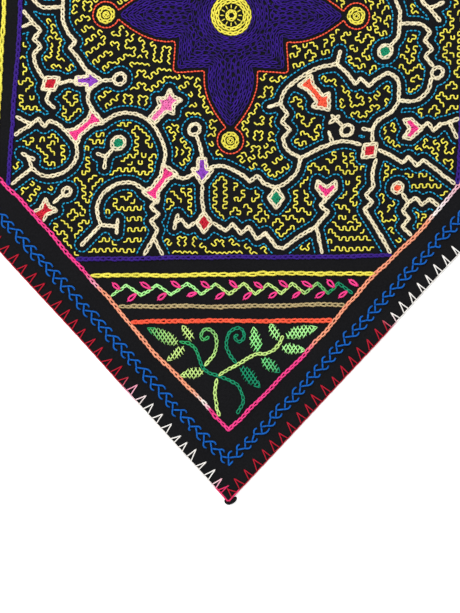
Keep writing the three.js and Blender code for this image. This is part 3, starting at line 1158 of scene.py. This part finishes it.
class CLOTH_OT_stage(bpy.types.Operator):
    """Lays the white paper, hangs the soft light and sets the camera straight above the cloth"""
    bl_idname = "cloth.stage"
    bl_label = "Stage"

    def execute(self, context):
        settings = context.scene.cloth_stage
        size = 3000.0
        corners = np.array([(-size, -size, 0), (size, -size, 0), (size, size, 0), (-size, size, 0)])
        paper = build_mesh("white_paper", corners, [(0, 1, 2, 3)],
                           [[(0, 0), (1, 0), (1, 1), (0, 1)]])
        paper.location.z = -0.1 * MM
        paper.data.materials.append(seamless_paper())
        world = bpy.data.worlds.new("room")
        world.use_nodes = True
        world.node_tree.nodes["Background"].inputs["Color"].default_value = (1, 1, 1, 1)
        world.node_tree.nodes["Background"].inputs["Strength"].default_value = (
            settings.sky_strength)
        context.scene.world = world
        lamp = bpy.data.lights.new("soft_light", "AREA")
        lamp.shape = "DISK"
        lamp.size = 1.6
        lamp.energy = settings.light_power
        light = bpy.data.objects.new("soft_light", lamp)
        light.location = (-0.7, 0.6, 1.9)
        light.rotation_euler = (math.radians(-19), math.radians(-22), 0)
        context.scene.collection.objects.link(light)
        context.scene.view_settings.view_transform = "Standard"
        context.scene.view_settings.look = "None"
        # The photograph is 460 pixels wide and 613 high, at one pixel to the millimetre.
        view_middle = (0.5 * MM, -290.5 * MM)
        view_height = 613 * MM
        sensor_height = 36.0
        camera_data = bpy.data.cameras.new("camera")
        camera_data.lens = settings.lens
        camera_data.sensor_fit = "VERTICAL"
        camera_data.sensor_height = sensor_height
        camera = bpy.data.objects.new("camera", camera_data)
        height = view_height * settings.lens / sensor_height
        camera.location = (view_middle[0], view_middle[1], height)
        # The cloth lies a third of a degree clockwise in the picture.
        camera.rotation_euler = (0, 0, math.radians(0.33))
        context.scene.collection.objects.link(camera)
        context.scene.camera = camera
        return {"FINISHED"}


def cloth_lines(cell):
    """Distances from one edge to the other where the cloth's mesh has a line of points."""
    hem = [0.0, 0.5, 1.3, 3.0, 5.5, 8.0, HEM_WIDTH, 10.2, HEM_WIDTH + HEM_SLOPE_WIDTH, 13.5]
    middle = np.linspace(17, SIDE - 17, int((SIDE - 34) / cell))
    return np.concatenate([hem, middle, SIDE - np.array(hem[::-1])])


class CLOTH_OT_ground(bpy.types.Operator):
    """Makes the black cotton square with its turned hem and its folded near tip"""
    bl_idname = "cloth.ground"
    bl_label = "Ground cloth"

    def execute(self, context):
        lines = cloth_lines(sizes().cell / MM)
        count = len(lines)
        share = lines / SIDE
        s, t = np.meshgrid(share, share)
        x = HALF_WIDTH * (s - t)
        y = HALF_HEIGHT * (s + t - 1)
        # The edge wanders a little, and the stitches of the edging draw it in.
        for along, across, near, outwards in self.edges(s, t):
            drawn = 0.15 * np.cos(TAU * (along * SIDE - EDGING_CLEAR) / edging_pitch())
            amount = edge_wave(near, along) + drawn
            fade = np.exp(-across * SIDE / 7)
            x = x + outwards[0] * amount * fade
            y = y + outwards[1] * amount * fade
        inset = np.minimum(np.minimum(s, 1 - s), np.minimum(t, 1 - t)) * SIDE
        lift = lift_of(x, y)
        top = lift + thickness_of(inset) * np.where(inset < 0.01, 1.25, 1.0)
        under = lift + np.interp(inset, [0, 0.5, 1.3], [0.9, 0.25, 0.0])
        points = np.concatenate([np.stack([x, y, top], -1).reshape(-1, 3),
                                 np.stack([x, y, under], -1).reshape(-1, 3)])
        index = np.arange(count * count).reshape(count, count)
        face = np.stack([index[:-1, :-1], index[:-1, 1:], index[1:, 1:], index[1:, :-1]], -1)
        face = face.reshape(-1, 4)
        back = face[:, ::-1] + count * count
        rim = np.concatenate([index[0, :-1], index[:-1, -1], index[-1, :0:-1], index[:0:-1, 0]])
        rim_next = np.roll(rim, -1)
        wall = np.stack([rim, rim + count * count, rim_next + count * count, rim_next], -1)
        flat_uv = np.stack([(s - 0.5) * SIDE, (t - 0.5) * SIDE], -1).reshape(-1, 2)
        flat_uv = np.concatenate([flat_uv, flat_uv])
        quads = np.concatenate([face, back, wall])
        piece = build_mesh("cotton_cloth", points, quads, flat_uv[quads])
        cotton = black_cotton()
        piece.data.materials.append(cotton)
        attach(piece, "root")
        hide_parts("ground_cloth")
        # The corner of the hem sticks out of the near tip as a small bent roll.
        # Each row is a place on it and its thickness there.
        roll = smooth([(-3.6, -483.5, 1.7, 1.2), (-2.4, -485.6, 1.6, 3.2), (0.0, -486.6, 1.9, 3.9),
                       (2.8, -486.0, 2.1, 3.6), (5.0, -484.2, 2.3, 4.3), (6.9, -481.9, 2.2, 3.8),
                       (7.9, -480.6, 2.0, 1.6)], 4)
        tip = Sewing(1)
        tip.lay(roll[None, :, :3], roll[:, 3], (0.0, 0.0, 0.0), sides=12)
        sewn_piece("hem_folded_tip", tip, cotton)
        return {"FINISHED"}

    @staticmethod
    def edges(s, t):
        """For each side: share along it, share in from it, its number and its outward direction."""
        u, v = HALF_HEIGHT / SIDE, HALF_WIDTH / SIDE
        return [(s, t, 0, (u, -v)), (t, 1 - s, 1, (u, v)),
                (1 - s, 1 - t, 2, (-u, v)), (1 - t, s, 3, (-u, -v))]


class CLOTH_OT_edging(bpy.types.Operator):
    """Sews the closed blanket stitch over the hem"""
    bl_idname = "cloth.edging"
    bl_label = "Blanket stitch edging"

    def execute(self, context):
        dyes = [
            changing((0, "red"), (236, "red"), (242, "pale_pink"), (248, "white"), (400, "white"),
                     (420, "pale_pink"), (440, "red"), (660, "red")),
            changing((0, "red"), (120, "red"), (140, "pale_pink"), (160, "white"), (330, "white"),
                     (350, "pale_pink"), (370, "red"), (660, "red")),
            changing((0, "red"), (180, "red"), (200, "pale_pink"), (215, "white"), (390, "white"),
                     (410, "pale_pink"), (430, "red"), (660, "red")),
            changing((0, "red"), (60, "white"), (180, "white"), (200, "pale_pink"), (215, "red"),
                     (500, "red"), (512, "pale_pink"), (530, "white"), (634, "white"),
                     (641, "pale_pink"), (647, "pink"), (653, "red"), (660, "red")),
        ]
        for side, dye in enumerate(dyes):
            sewing = Sewing(10 + side)
            self.sew_side(sewing, side, dye)
            self.sew_corner(sewing, side, dye)
            sewn_piece(f"blanket_stitch_{side + 1}", sewing, thread_material("edging red"),
                       [f"edging_{side + 1}"])
        return {"FINISHED"}

    @staticmethod
    def sew_side(sewing, side, dye):
        """One thread that rises to a point at each stitch and runs along the edge between."""
        count = threads().edging_stitches
        pitch = edging_pitch()
        # Each leg: how far from the stitch's middle, how far in from the edge, and how high.
        reach = np.array([1.0, 0.97, 0.5, 0.1, 0.0, -0.1, -0.5, -0.97, -1.0, -1.3])
        depth = np.array([-0.4, 0.9, 5.2, 9.6, 10.6, 9.6, 5.2, 0.9, -0.4, -0.5])
        rise = np.array([1.6, 2.9, 3.05, 2.75, 2.1, 2.75, 3.05, 2.9, 1.6, 1.5])
        random = sewing.random
        middles = EDGING_CLEAR + (np.arange(count) + 0.5) * pitch
        middles = middles + 0.55 * random.standard_normal(count)
        feet = np.interp(middles, [225, 265], [(3.1, 2.1), (3.0, 2.6), (2.6, 3.0), (2.8, 2.8)][side])
        feet = feet * (1 + 0.12 * random.standard_normal(count))
        deep = 1 + 0.07 * random.standard_normal(count)
        lean = (2.0, 0.8, 1.2, 0.4)[side] + 0.8 * random.standard_normal(count)
        along = middles[:, None] - reach * feet[:, None] + lean[:, None] * depth / 10.6
        inset = np.where(depth > 0, depth * deep[:, None], depth)
        flat = edge_point(side, along / SIDE, inset)
        z = lift_of(flat[..., 0], flat[..., 1]) + rise
        line = np.concatenate([flat, z[..., None]], -1).reshape(1, -1, 3)
        dyes = sewing.shade(dye(along.ravel()), along.size, 0.03)[None]
        sewing.lay(line, 1.5, dyes)
        # Between the two feet of each stitch the thread lies along the rim.
        foot = middles[:, None] + feet[:, None] * np.array([-1.0, -0.5, 0.5, 1.0])
        flat = edge_point(side, foot / SIDE, -0.3)
        z = lift_of(flat[..., 0], flat[..., 1]) + 1.5
        dyes = sewing.shade(dye(foot.ravel()), foot.size, 0.03).reshape(count, 4, 3)
        sewing.lay(np.concatenate([flat, z[..., None]], -1), 1.5, dyes)

    @staticmethod
    def sew_corner(sewing, side, dye):
        """The crowded stitches over the corner where a side starts."""
        corner = rhombus(SIDE_DISTANCE)[side]
        before = (rhombus(SIDE_DISTANCE)[side - 1] - corner) / SIDE
        after = (rhombus(SIDE_DISTANCE)[(side + 1) % 4] - corner) / SIDE
        inwards = -corner / np.linalg.norm(corner)
        sideways = np.array([inwards[1], -inwards[0]])
        red = dye(np.zeros(1))[0]
        rosy = 0.6 * colour("crimson") + 0.4 * colour("pink")
        high, low = corner + 16.2 * inwards, corner + 12.8 * inwards - 1.4 * sideways
        for foot, top, shade in ((before * 15, high, rosy), (before * 11, high, rosy),
                                 (after * 5, low, red), (after * 12.3, low, red)):
            a = corner + foot + 0.4 * inwards
            b = top + 0.4 * sewing.random.standard_normal(2)
            share = np.array([0, 0.15, 0.5, 0.85, 1.0])[:, None]
            flat = a + share * (b - a)
            z = lift_of(flat[:, 0], flat[:, 1]) + np.array([1.3, 3.0, 3.2, 2.9, 1.6])
            line = np.concatenate([flat, z[:, None]], 1)[None]
            sewing.lay(line, 1.5, sewing.shade(shade, 1)[:, None])
        rim = np.array([corner + before * 20, corner + before * 7, corner - 0.7 * inwards,
                        corner + after * 7, corner + after * 18])
        rim = rounded(rim, [0.25])
        z = lift_of(rim[:, 0], rim[:, 1]) + 1.7
        z[[0, -1]] -= 1.0
        sewing.lay(np.concatenate([rim, z[:, None]], 1)[None], 2.3, sewing.shade(rosy, 1)[:, None])


class CLOTH_OT_feather(bpy.types.Operator):
    """Sews the blue feather stitch between the hem and the frame line"""
    bl_idname = "cloth.feather"
    bl_label = "Feather stitch"

    def execute(self, context):
        for side in range(4):
            sewing = Sewing(20 + side)
            self.sew_side(sewing, side)
            sewn_piece(f"feather_stitch_{side + 1}", sewing, thread_material("blue"))
        return {"FINISHED"}

    @staticmethod
    def sew_side(sewing, side):
        """A zigzag spine with a hook at each corner, open towards the way it travels."""
        distance = 304.8
        step = 5.45
        swing = 2.4
        end_gap = 12.5
        start, end = rhombus(distance)[side], rhombus(distance)[(side + 1) % 4]
        length = np.linalg.norm(end - start)
        ahead = (end - start) / length
        outwards = np.array([ahead[1], -ahead[0]])
        thread = threads().feather_thread / MM
        random = sewing.random
        count = 2 * int((length - 2 * end_gap) / step / 2) + 1
        way = np.where(np.arange(count) % 2, -1.0, 1.0)
        along = np.linspace(end_gap, length - end_gap, count)
        along = along + 0.6 * random.standard_normal(count)
        offset = way * swing * (1 + 0.2 * random.standard_normal(count))
        offset = offset - 6 * np.exp(-np.minimum(along, length - along) / 16)
        spots = start + along[:, None] * ahead + offset[:, None] * outwards
        # Both sides end in the same place above a corner, and one stitch points into it.
        first = start * (1 - 8 / np.linalg.norm(start))
        last = end * (1 - 8 / np.linalg.norm(end))
        spots = np.concatenate([[first], spots, [last]])
        way = np.concatenate([[-1.0], way])
        blue = colour("blue")
        straight_stitches(sewing, spots[:-1], spots[1:], blue, thread)
        straight_stitches(sewing, [first, start], [start, start + 6.5 * ahead], blue, thread)
        hook = np.array([(-0.9, -0.8), (1.0, 1.1), (2.5, 2.3), (4.5, 2.6), (6.8, 1.9)])
        hook = hook * (1 + 0.14 * random.standard_normal((len(way), 1, 2)))
        flat = (spots[:-1, None] + hook[..., :1] * ahead
                + hook[..., 1:] * way[:, None, None] * outwards)
        rise = thread * np.array([0.5, 0.9, 0.55, 0.5, 0.2])
        shades = sewing.shade(blue, len(way))[:, None]
        sewing.lay(on_cloth(flat, rise), thread * np.array([0.9, 1, 1, 1, 0.9]), shades)


class CLOTH_OT_frame_lines(bpy.types.Operator):
    """Sews the chain-stitched frame line, in thread that changes colour along its length"""
    bl_idname = "cloth.frame_lines"
    bl_label = "Frame line"

    def execute(self, context):
        dyes = [
            changing((0, "pink"), (108, "pink"), (126, "peach"), (288, "peach"), (300, "white"),
                     (345, "pale_pink"), (360, "pink"), (470, "pink"), (490, "peach"),
                     (563, "peach")),
            changing((0, "peach"), (90, "peach"), (104, "white"), (120, "pink"), (290, "pink"),
                     (308, "peach"), (470, "peach"), (482, "white"), (500, "pink"), (563, "pink")),
            changing((0, "pink"), (120, "pink"), (140, "peach"), (300, "peach"), (314, "white"),
                     (330, "pink"), (563, "pink")),
            changing((0, "peach"), (120, "peach"), (132, "white"), (150, "pink"), (352, "pink"),
                     (366, "pale_pink"), (376, "peach"), (512, "peach"), (529, "white"),
                     (537, "pink"), (563, "pink")),
        ]
        corners = rhombus(FRAME_DISTANCE)
        for side, dye in enumerate(dyes):
            sewing = Sewing(30 + side)
            start, end = corners[side], corners[(side + 1) % 4]
            ahead = (end - start) / FRAME_SIDE
            along = np.linspace(0, FRAME_SIDE, 200)
            fade = np.minimum(1, np.minimum(along, FRAME_SIDE - along) / 15)
            waver = fade * (0.5 * np.sin(along / 19 + side) + 0.35 * np.sin(along / 7 + 2 * side))
            moved = waver + fade * frame_bow(side, along)
            spots = start + along[:, None] * ahead + moved[:, None] * [ahead[1], -ahead[0]]
            chain(sewing, Route(spots), dye, pitch=5.7, width=4.5)
            sewn_piece(f"frame_chain_{side + 1}", sewing, thread_material("frame pink and peach"),
                       [f"frame_line_{side + 1}"])
        return {"FINISHED"}


class CLOTH_OT_corner_lines(bpy.types.Operator):
    """Sews the straight chain-stitched lines across the four corners of the frame"""
    bl_idname = "cloth.corner_lines"
    bl_label = "Corner lines"

    def execute(self, context):
        for number, corner in enumerate(CORNERS):
            self.sew_line(corner, "panel_line", PANEL_DISTANCE, "purple", 40 + number,
                          width=5.0, thread=2.3)
            self.sew_line(corner, "yellow_line", 258.5, "yellow", 50 + number, pitch=9.6,
                          width=5.1, thread=2.2, belly=1.0)
            self.sew_line(corner, "khaki_line", 290.0, "khaki", 60 + number, width=4.9, thread=1.95)
            self.sew_line(corner, "orange_line", ORANGE_DISTANCE, "orange", 70 + number,
                          width=5.0, thread=2.3)
        return {"FINISHED"}

    @staticmethod
    def sew_line(corner, line, distance, dye, seed, pitch=5.7, width=4.5, thread=1.85, belly=0.0):
        """One row with a slight waver from the hand."""
        sewing = Sewing(seed)
        low, high = reach_in_frame(corner, distance)
        across = np.linspace(low, high, 60)
        phase = seed * 1.7
        waver = 0.5 * np.sin(across / 31 + phase) + 0.25 * np.sin(across / 11 + 2 * phase)
        route = Route(at_corner(corner, across, distance + waver))
        chain(sewing, route, colour(dye), pitch, width, thread, 0.06, belly)
        sewn_piece(f"{dye}_chain_{corner}", sewing, thread_material(dye),
                   [f"{line}_{corner}"])


class CLOTH_OT_vines(bpy.types.Operator):
    """Sews the zigzag vines with their pink detached-chain leaves"""
    bl_idname = "cloth.vines"
    bl_label = "Vines"

    def execute(self, context):
        for number, corner in enumerate(CORNERS):
            self.sew_vine(corner, number)
        return {"FINISHED"}

    @staticmethod
    def sew_vine(corner, number):
        """One vine: a zigzag of chain stitch, with a pink leaf at each of its lines."""
        points = 19
        swing = 5.4
        distance = 273.2
        end_gap = 2.0
        crowding = 0.045
        low, high = reach_in_frame(corner, distance + swing)
        vine = Sewing(80 + number)
        random = vine.random
        share = np.linspace(0, 1, points)
        reach = high - low - 2 * end_gap
        across = low + end_gap + reach * (share + crowding * np.sin(math.pi * share))
        across[1:-1] += 0.7 * random.standard_normal(points - 2)
        out = distance + np.where(np.arange(points) % 2, -swing, swing)
        out = out + 0.6 * random.standard_normal(points)
        spots = at_corner(corner, across, out)
        dye = changing((0, "pale_mint"), (0.33, "pale_mint"), (0.42, "lime"), (0.74, "lime"),
                       (0.89, "leaf_green"), (0.95, "dark_green"), (1, "dark_green"))
        for i in range(points - 1):
            shade = dye(np.array([(i + 0.5) / (points - 1)]))[0]
            chain(vine, Route(spots[i:i + 2]), shade, pitch=4.9, width=3.6, thread=1.35)
        sewn_piece(f"vine_chain_{corner}", vine, thread_material("green"),
                   [f"vine_{corner}"])
        leaves = Sewing(90 + number)
        for i in range(1, points + 1):
            # An upper leaf springs from the rising line, a lower one hangs under the falling one.
            # The last one stands above the vine's end.
            upper = i % 2 == 1
            share, drop, slope = (0.52, -1.6, 33) if upper else (0.6, 3.2, -33)
            if i == points:
                start = np.array([across[-1] + 5.2, out[-1] - 7.5])
            else:
                start = np.array([across[i - 1] + share * (across[i] - across[i - 1]),
                                  out[i - 1] + share * (out[i] - out[i - 1]) + drop])
            angle = math.radians(slope + 6 * random.standard_normal())
            length = 7.4 + 0.5 * random.standard_normal()
            end = start - length * np.array([math.cos(angle), math.sin(angle)])
            ends = at_corner(corner, np.array([start[0], end[0]]), np.array([start[1], end[1]]))
            chain(leaves, Route(ends), colour("pink"), 20.0, 5.5, 2.1, belly=0.2)
            # A small stitch over the head of the loop ties it down.
            head = ends[1] + 0.16 * (ends[1] - ends[0])
            tie = 1.1 * (ends[1] - ends[0]) / length
            straight_stitches(leaves, [head - tie], [head + 1.6 * tie], colour("pink"), 1.5)
        sewn_piece(f"vine_leaves_{corner}", leaves, thread_material("pink"))


# The leaf spray of the near corner, by distance across and below the orange line. The points were
# read off the photograph and rounded to whole millimetres.
SPRAY_STEMS = [
    {"dye": ("leaf_green", "dark_green"), "change": 0.3,
     "points": [(-49, 20), (-37, 24), (-31, 33), (-27, 45), (-21, 51), (-10, 55), (6, 62), (12, 70),
                (14, 81), (9, 92)]},
    {"dye": ("lime", "leaf_green"), "change": 1.0,
     "points": [(-24, 44), (-16, 34), (-13, 26), (-13, 19), (-15, 12), (-20, 8), (-25, 9),
                (-28, 13), (-27, 17), (-24, 18), (-21, 16)]},
    {"dye": ("dark_green", "dark_green"), "change": 1.0,
     "points": [(7, 42), (0, 33), (-3, 23), (-1, 14), (3, 9), (9, 7), (13, 9), (15, 14), (14, 18),
                (10, 21), (7, 19), (5, 15), (8, 14)]},
    {"dye": ("lime", "lime"), "change": 1.0,
     "points": [(-10, 54), (-3, 49), (8, 44), (25, 34), (36, 33), (45, 29), (50, 23), (53, 16)]},
    {"dye": ("lime", "lime"), "change": 1.0,
     "points": [(-12, 58), (-14, 70), (-13, 82), (-10, 94)]},
]

SPRAY_LEAVES = [
    {"tip": (-82, 6), "base": (-49, 23), "width": 13, "dye": ("leaf_green", "lime")},
    {"tip": (-47, 4), "base": (-36, 20), "width": 10, "dye": ("lime", "lime")},
    {"tip": (-62, 39), "base": (-43, 25), "width": 10, "dye": ("lime", "lime")},
    {"tip": (-49, 54), "base": (-24, 50), "width": 11, "dye": ("lime", "lime")},
    {"tip": (88, 7), "base": (55, 16), "width": 13, "dye": ("pale_mint", "pale_mint")},
    {"tip": (76, 30), "base": (51, 27), "width": 11, "dye": ("pale_mint", "pale_mint")},
    {"tip": (41, 3), "base": (49, 20), "width": 11, "dye": ("pale_mint", "pale_mint")},
    {"tip": (24, 6), "base": (28, 33), "width": 13, "dye": ("pale_mint", "mint")},
    {"tip": (51, 52), "base": (32, 37), "width": 12, "dye": ("dark_green", "mint")},
    {"tip": (31, 67), "base": (11, 45), "width": 13, "dye": ("dark_green", "dark_green")},
]


class CLOTH_OT_sprays(bpy.types.Operator):
    """Sews the leaf sprays in the corners of the frame"""
    bl_idname = "cloth.sprays"
    bl_label = "Leaf sprays"

    def execute(self, context):
        for number, corner in enumerate(CORNERS):
            self.sew_spray(corner, number)
        return {"FINISHED"}

    @staticmethod
    def place(corner, points):
        """Places of the spray, scaled to the room between the orange line and the frame's tip."""
        tip = HALF_HEIGHT * FRAME_SIDE / SIDE
        outward = CORNERS[corner]["outward"]
        scale = (tip - ORANGE_DISTANCE - outward) / (tip - ORANGE_DISTANCE)
        points = np.asarray(points, float) * min(scale, 1.0)
        return at_corner(corner, points[:, 0], ORANGE_DISTANCE + points[:, 1])

    def sew_spray(self, corner, number):
        """One spray: its chain-stitched stems, then its leaves."""
        stems = Sewing(100 + number)
        for stem in SPRAY_STEMS:
            route = bend(self.place(corner, stem["points"]))
            first, last = (colour(name) for name in stem["dye"])

            def dye(s, reach=route.length * stem["change"], first=first, last=last):
                share = np.minimum(np.asarray(s) / reach, 1)[:, None]
                return first + (last - first) * share
            chain(stems, route, dye, pitch=4.9, width=3.9, thread=1.4)
        sewn_piece(f"spray_stems_{corner}", stems, thread_material("green"))
        leaves = Sewing(110 + number)
        for leaf in SPRAY_LEAVES:
            self.sew_leaf(leaves, corner, leaf)
        sewn_piece(f"spray_leaves_{corner}", leaves, thread_material("green"))

    def sew_leaf(self, sewing, corner, leaf):
        """A leaf of crossed stitches that reach from edge to edge, and a little over it."""
        tip, base = np.array(leaf["tip"], float), np.array(leaf["base"], float)
        length = np.linalg.norm(tip - base)
        ahead = (tip - base) / length
        across = np.array([-ahead[1], ahead[0]])
        share = np.linspace(0, 1, 16)
        half = leaf["width"] / 2 * np.sin(math.pi * share ** 0.85) ** 0.9
        edge = base + share[:, None] * length * ahead + half[:, None] * across
        other = base + share[:, None] * length * ahead - half[:, None] * across
        outline = np.concatenate([edge, other[::-1]])
        last, first = (colour(name) for name in leaf["dye"])
        shoulders = np.stack([edge[12], other[12]])
        tips = self.place(corner, np.stack([tip, tip]))
        straight_stitches(sewing, tips, self.place(corner, shoulders), last, 1.4)
        for angle in (57, -57):
            a, b = hatching(outline, angle, 3.3, 0.0, 40)
            a = a + 0.3 * sewing.random.standard_normal(a.shape)
            b = b + 0.3 * sewing.random.standard_normal(b.shape)
            share = ((a + b) / 2 - base) @ ahead / length
            dye = first + (last - first) * np.clip(share, 0, 1)[:, None]
            straight_stitches(sewing, self.place(corner, a), self.place(corner, b), dye, 1.6,
                              lift=0.5 if angle > 0 else 0.0)


class CLOTH_OT_panel_lines(bpy.types.Operator):
    """Sews the panel's cream line work and its filled figures"""
    bl_idname = "cloth.panel_lines"
    bl_label = "Panel line work"

    def execute(self, context):
        cream = Sewing(120)
        for route in panel_routes():
            chain(cream, route, colour("cream"), pitch=5.3, width=4.4, thread=1.87)
        sewn_piece("cream_line_work", cream, thread_material("cream"))
        slots = {"pink": "pink_thread", "light_pink": "pink_thread", "violet": "violet_thread",
                 "crimson": "red_thread", "dark_green": "green_thread", "orange": "orange_thread"}
        for number, (dye, slot) in enumerate(slots.items()):
            filling = Sewing(130 + number)
            for turned in (False, True):
                for shape in SHAPES:
                    if shape["dye"] == dye:
                        fill(filling, placed(shape, turned), shape["angle"], colour(dye))
                for loop in LOOPS:
                    if loop["fill"] == dye:
                        centre = half_turned(loop["centre"], turned)
                        outline = ring(centre, loop["radius"]).points[:-1]
                        fill(filling, outline, 40, colour(dye))
            sewn_piece(f"{dye}_figures", filling, thread_material(dye))
        return {"FINISHED"}


class CLOTH_OT_panel_filling(bpy.types.Operator):
    """Sews the blue outlines beside the cream lines and the winding yellow filling"""
    bl_idname = "cloth.panel_filling"
    bl_label = "Panel filling"

    def execute(self, context):
        panel = fields()
        gap = threads().outline_gap / MM
        outlines = Sewing(140)

        def clear(x, y):
            return (at_grid(panel.room, x, y) > 0.8) & (at_grid(panel.rosette, x, y) > 5.4)
        for line in level_lines(panel.cream, gap):
            for part in inside_parts(line, clear):
                if part.length < 12:
                    continue
                running(outlines, part, colour("cyan"), 2.8, 1.4, 1.75)
        sewn_piece("blue_outlines", outlines, thread_material("cyan"))
        filling = Sewing(150)
        space = (panel.cream > gap + 1.7) & (panel.room > 1.4) & (panel.rosette > 5.9)
        sewn = self.sew_filling(filling, space, 2.0)
        # Whatever stays bare gets short pieces of its own.
        for _ in range(2):
            bare = space & (distance_field(np.concatenate(sewn)) > 3.1)
            sewn.extend(self.sew_filling(filling, bare, 0.4))
        sewn_piece("yellow_filling", filling, thread_material("yellow"))
        return {"FINISHED"}

    @staticmethod
    def sew_filling(sewing, mask, smallest):
        """Fills each space with walks over a lattice that is turned differently in each.

        Spaces of fewer lattice cells than smallest are left out.
        """
        pitch = threads().filling_pitch / MM
        labels, count = islands(mask)
        yellow = colour("yellow")
        sewn = []
        for number in range(1, count + 1):
            here = labels == number
            if here.sum() * GRID_STEP ** 2 < smallest * pitch ** 2:
                continue
            angle = math.radians(sewing.random.choice([0, 12, 38, 45, 52, 80]))
            c, s = math.cos(angle), math.sin(angle)
            xs, ys = FIELD_X[here], FIELD_Y[here]
            middle = np.array([xs.mean(), ys.mean()])
            reach = int(max(np.ptp(xs), np.ptp(ys)) / pitch) + 2
            grid = np.arange(-reach, reach + 1)
            i, j = (axis.ravel() for axis in np.meshgrid(grid, grid))
            x = middle[0] + pitch * (i * c - j * s)
            y = middle[1] + pitch * (i * s + j * c)
            allowed = (at_grid(labels, x, y) == number) & (np.abs(x) < 240) & (np.abs(y) < 246)
            sites = list(zip(i[allowed].tolist(), j[allowed].tolist()))
            for walk in meanders(sites, sewing.random):
                walk = walk + 0.08 * sewing.random.standard_normal(walk.shape)
                flat = middle + pitch * (walk @ np.array([(c, s), (-s, c)]))
                flat = flat + 0.4 * np.sin(flat[:, ::-1] / 5)
                sewn.append(flat)
                if len(flat) == 2:
                    straight_stitches(sewing, flat[:1], flat[1:], yellow)
                else:
                    laid_thread(sewing, rounded(flat), yellow)
        return sewn


class CLOTH_OT_rosette(bpy.types.Operator):
    """Sews the rosette: purple chain-filled petals, orange-red outline and yellow rings"""
    bl_idname = "cloth.rosette"
    bl_label = "Rosette"

    def execute(self, context):
        panel = fields()
        petals = Sewing(160)
        from_hole = np.hypot(FIELD_X, FIELD_Y) - EYE_HOLE
        depth = np.minimum(-panel.petals, from_hole)
        purple = colour("deep_purple")
        rows = []
        level = 1.8
        while level < depth.max():
            # Deep inside, the rows are worked as wide ladders that let the black through.
            ladder = level > 12
            for line in level_lines(depth, level):
                rows.append(line.at(np.arange(0, line.length, 1.0)))
                chain(petals, line, purple, pitch=7.5 if ladder else 6.4,
                      width=5.6 if ladder else 4.2, thread=1.25 if ladder else 1.45, spread=0.2)
            level += 5.2 if ladder else 4.3
        bare = (distance_field(np.concatenate(rows)) > 2.4) & (depth > 2)
        spots = np.stack([FIELD_X[bare], FIELD_Y[bare]], -1)[::3]
        way = spots / np.linalg.norm(spots, axis=1, keepdims=True)
        straight_stitches(petals, spots - 2.2 * way, spots + 2.2 * way, purple, 1.3, spread=0.2)
        sewn_piece("petal_chains", petals, thread_material("purple"),
                   ["rosette_petals"])
        outline = Sewing(170)
        for line in level_lines(panel.rosette, 3.6):
            running(outline, line, colour("orange"), 2.8, 0.6, 1.8)
        sewn_piece("rosette_outline", outline, thread_material("orange"))
        rings = Sewing(180)
        yellow = colour("yellow")
        for radius in (18.4, 13.9):
            chain(rings, ring((0, 0), radius), yellow, pitch=5.5)
        chain(rings, ring((0, 0), 4.2), yellow, pitch=4.4, width=3.8)
        spokes = TAU * np.arange(12) / 12
        spread = np.stack([np.cos(spokes), np.sin(spokes)], -1)
        straight_stitches(rings, 7.0 * spread, 11.0 * spread, yellow, 1.4)
        sewn_piece("eye_rings", rings, thread_material("yellow"),
                   ["rosette_eye"])
        tips = Sewing(190)
        for centre in ring_centres():
            chain(tips, ring(centre, TIP_RING["radius"] - 2.4), yellow, pitch=5.0)
            chain(tips, ring(centre, 2.6), yellow, pitch=4.0, width=3.2, thread=1.3)
        sewn_piece("tip_rings", tips, thread_material("yellow"))
        return {"FINISHED"}


class CLOTH_PT_panel(bpy.types.Panel):
    bl_label = "Embroidered Cloth"
    bl_idname = "CLOTH_PT_panel"
    bl_space_type = "VIEW_3D"
    bl_region_type = "UI"
    bl_category = "Cloth"

    def draw(self, context):
        scene = context.scene
        for group in (scene.cloth_sizes, scene.cloth_threads, scene.cloth_colours,
                      scene.cloth_stage):
            box = self.layout.box()
            for name in group.__annotations__:
                box.prop(group, name)
        for operator in OPERATORS:
            self.layout.operator(operator.bl_idname)


GROUPS = {
    "cloth_sizes": ClothSizes,
    "cloth_threads": ThreadSizes,
    "cloth_colours": ThreadColours,
    "cloth_stage": StageSizes,
}

OPERATORS = [
    CLOTH_OT_stage,
    CLOTH_OT_ground,
    CLOTH_OT_edging,
    CLOTH_OT_feather,
    CLOTH_OT_frame_lines,
    CLOTH_OT_corner_lines,
    CLOTH_OT_vines,
    CLOTH_OT_sprays,
    CLOTH_OT_panel_lines,
    CLOTH_OT_panel_filling,
    CLOTH_OT_rosette,
]


def register():
    for group in GROUPS.values():
        bpy.utils.register_class(group)
    for operator in OPERATORS:
        bpy.utils.register_class(operator)
    bpy.utils.register_class(CLOTH_PT_panel)
    for name, group in GROUPS.items():
        setattr(bpy.types.Scene, name, PointerProperty(type=group))


def unregister():
    for name in GROUPS:
        delattr(bpy.types.Scene, name)
    bpy.utils.unregister_class(CLOTH_PT_panel)
    for operator in reversed(OPERATORS):
        bpy.utils.unregister_class(operator)
    for group in GROUPS.values():
        bpy.utils.unregister_class(group)


def main():
    register()
    bpy.ops.cloth.stage()
    bpy.ops.cloth.ground()
    bpy.ops.cloth.edging()
    bpy.ops.cloth.feather()
    bpy.ops.cloth.frame_lines()
    bpy.ops.cloth.corner_lines()
    bpy.ops.cloth.vines()
    bpy.ops.cloth.sprays()
    bpy.ops.cloth.panel_lines()
    bpy.ops.cloth.panel_filling()
    bpy.ops.cloth.rosette()


if __name__ == "__main__":
    main()
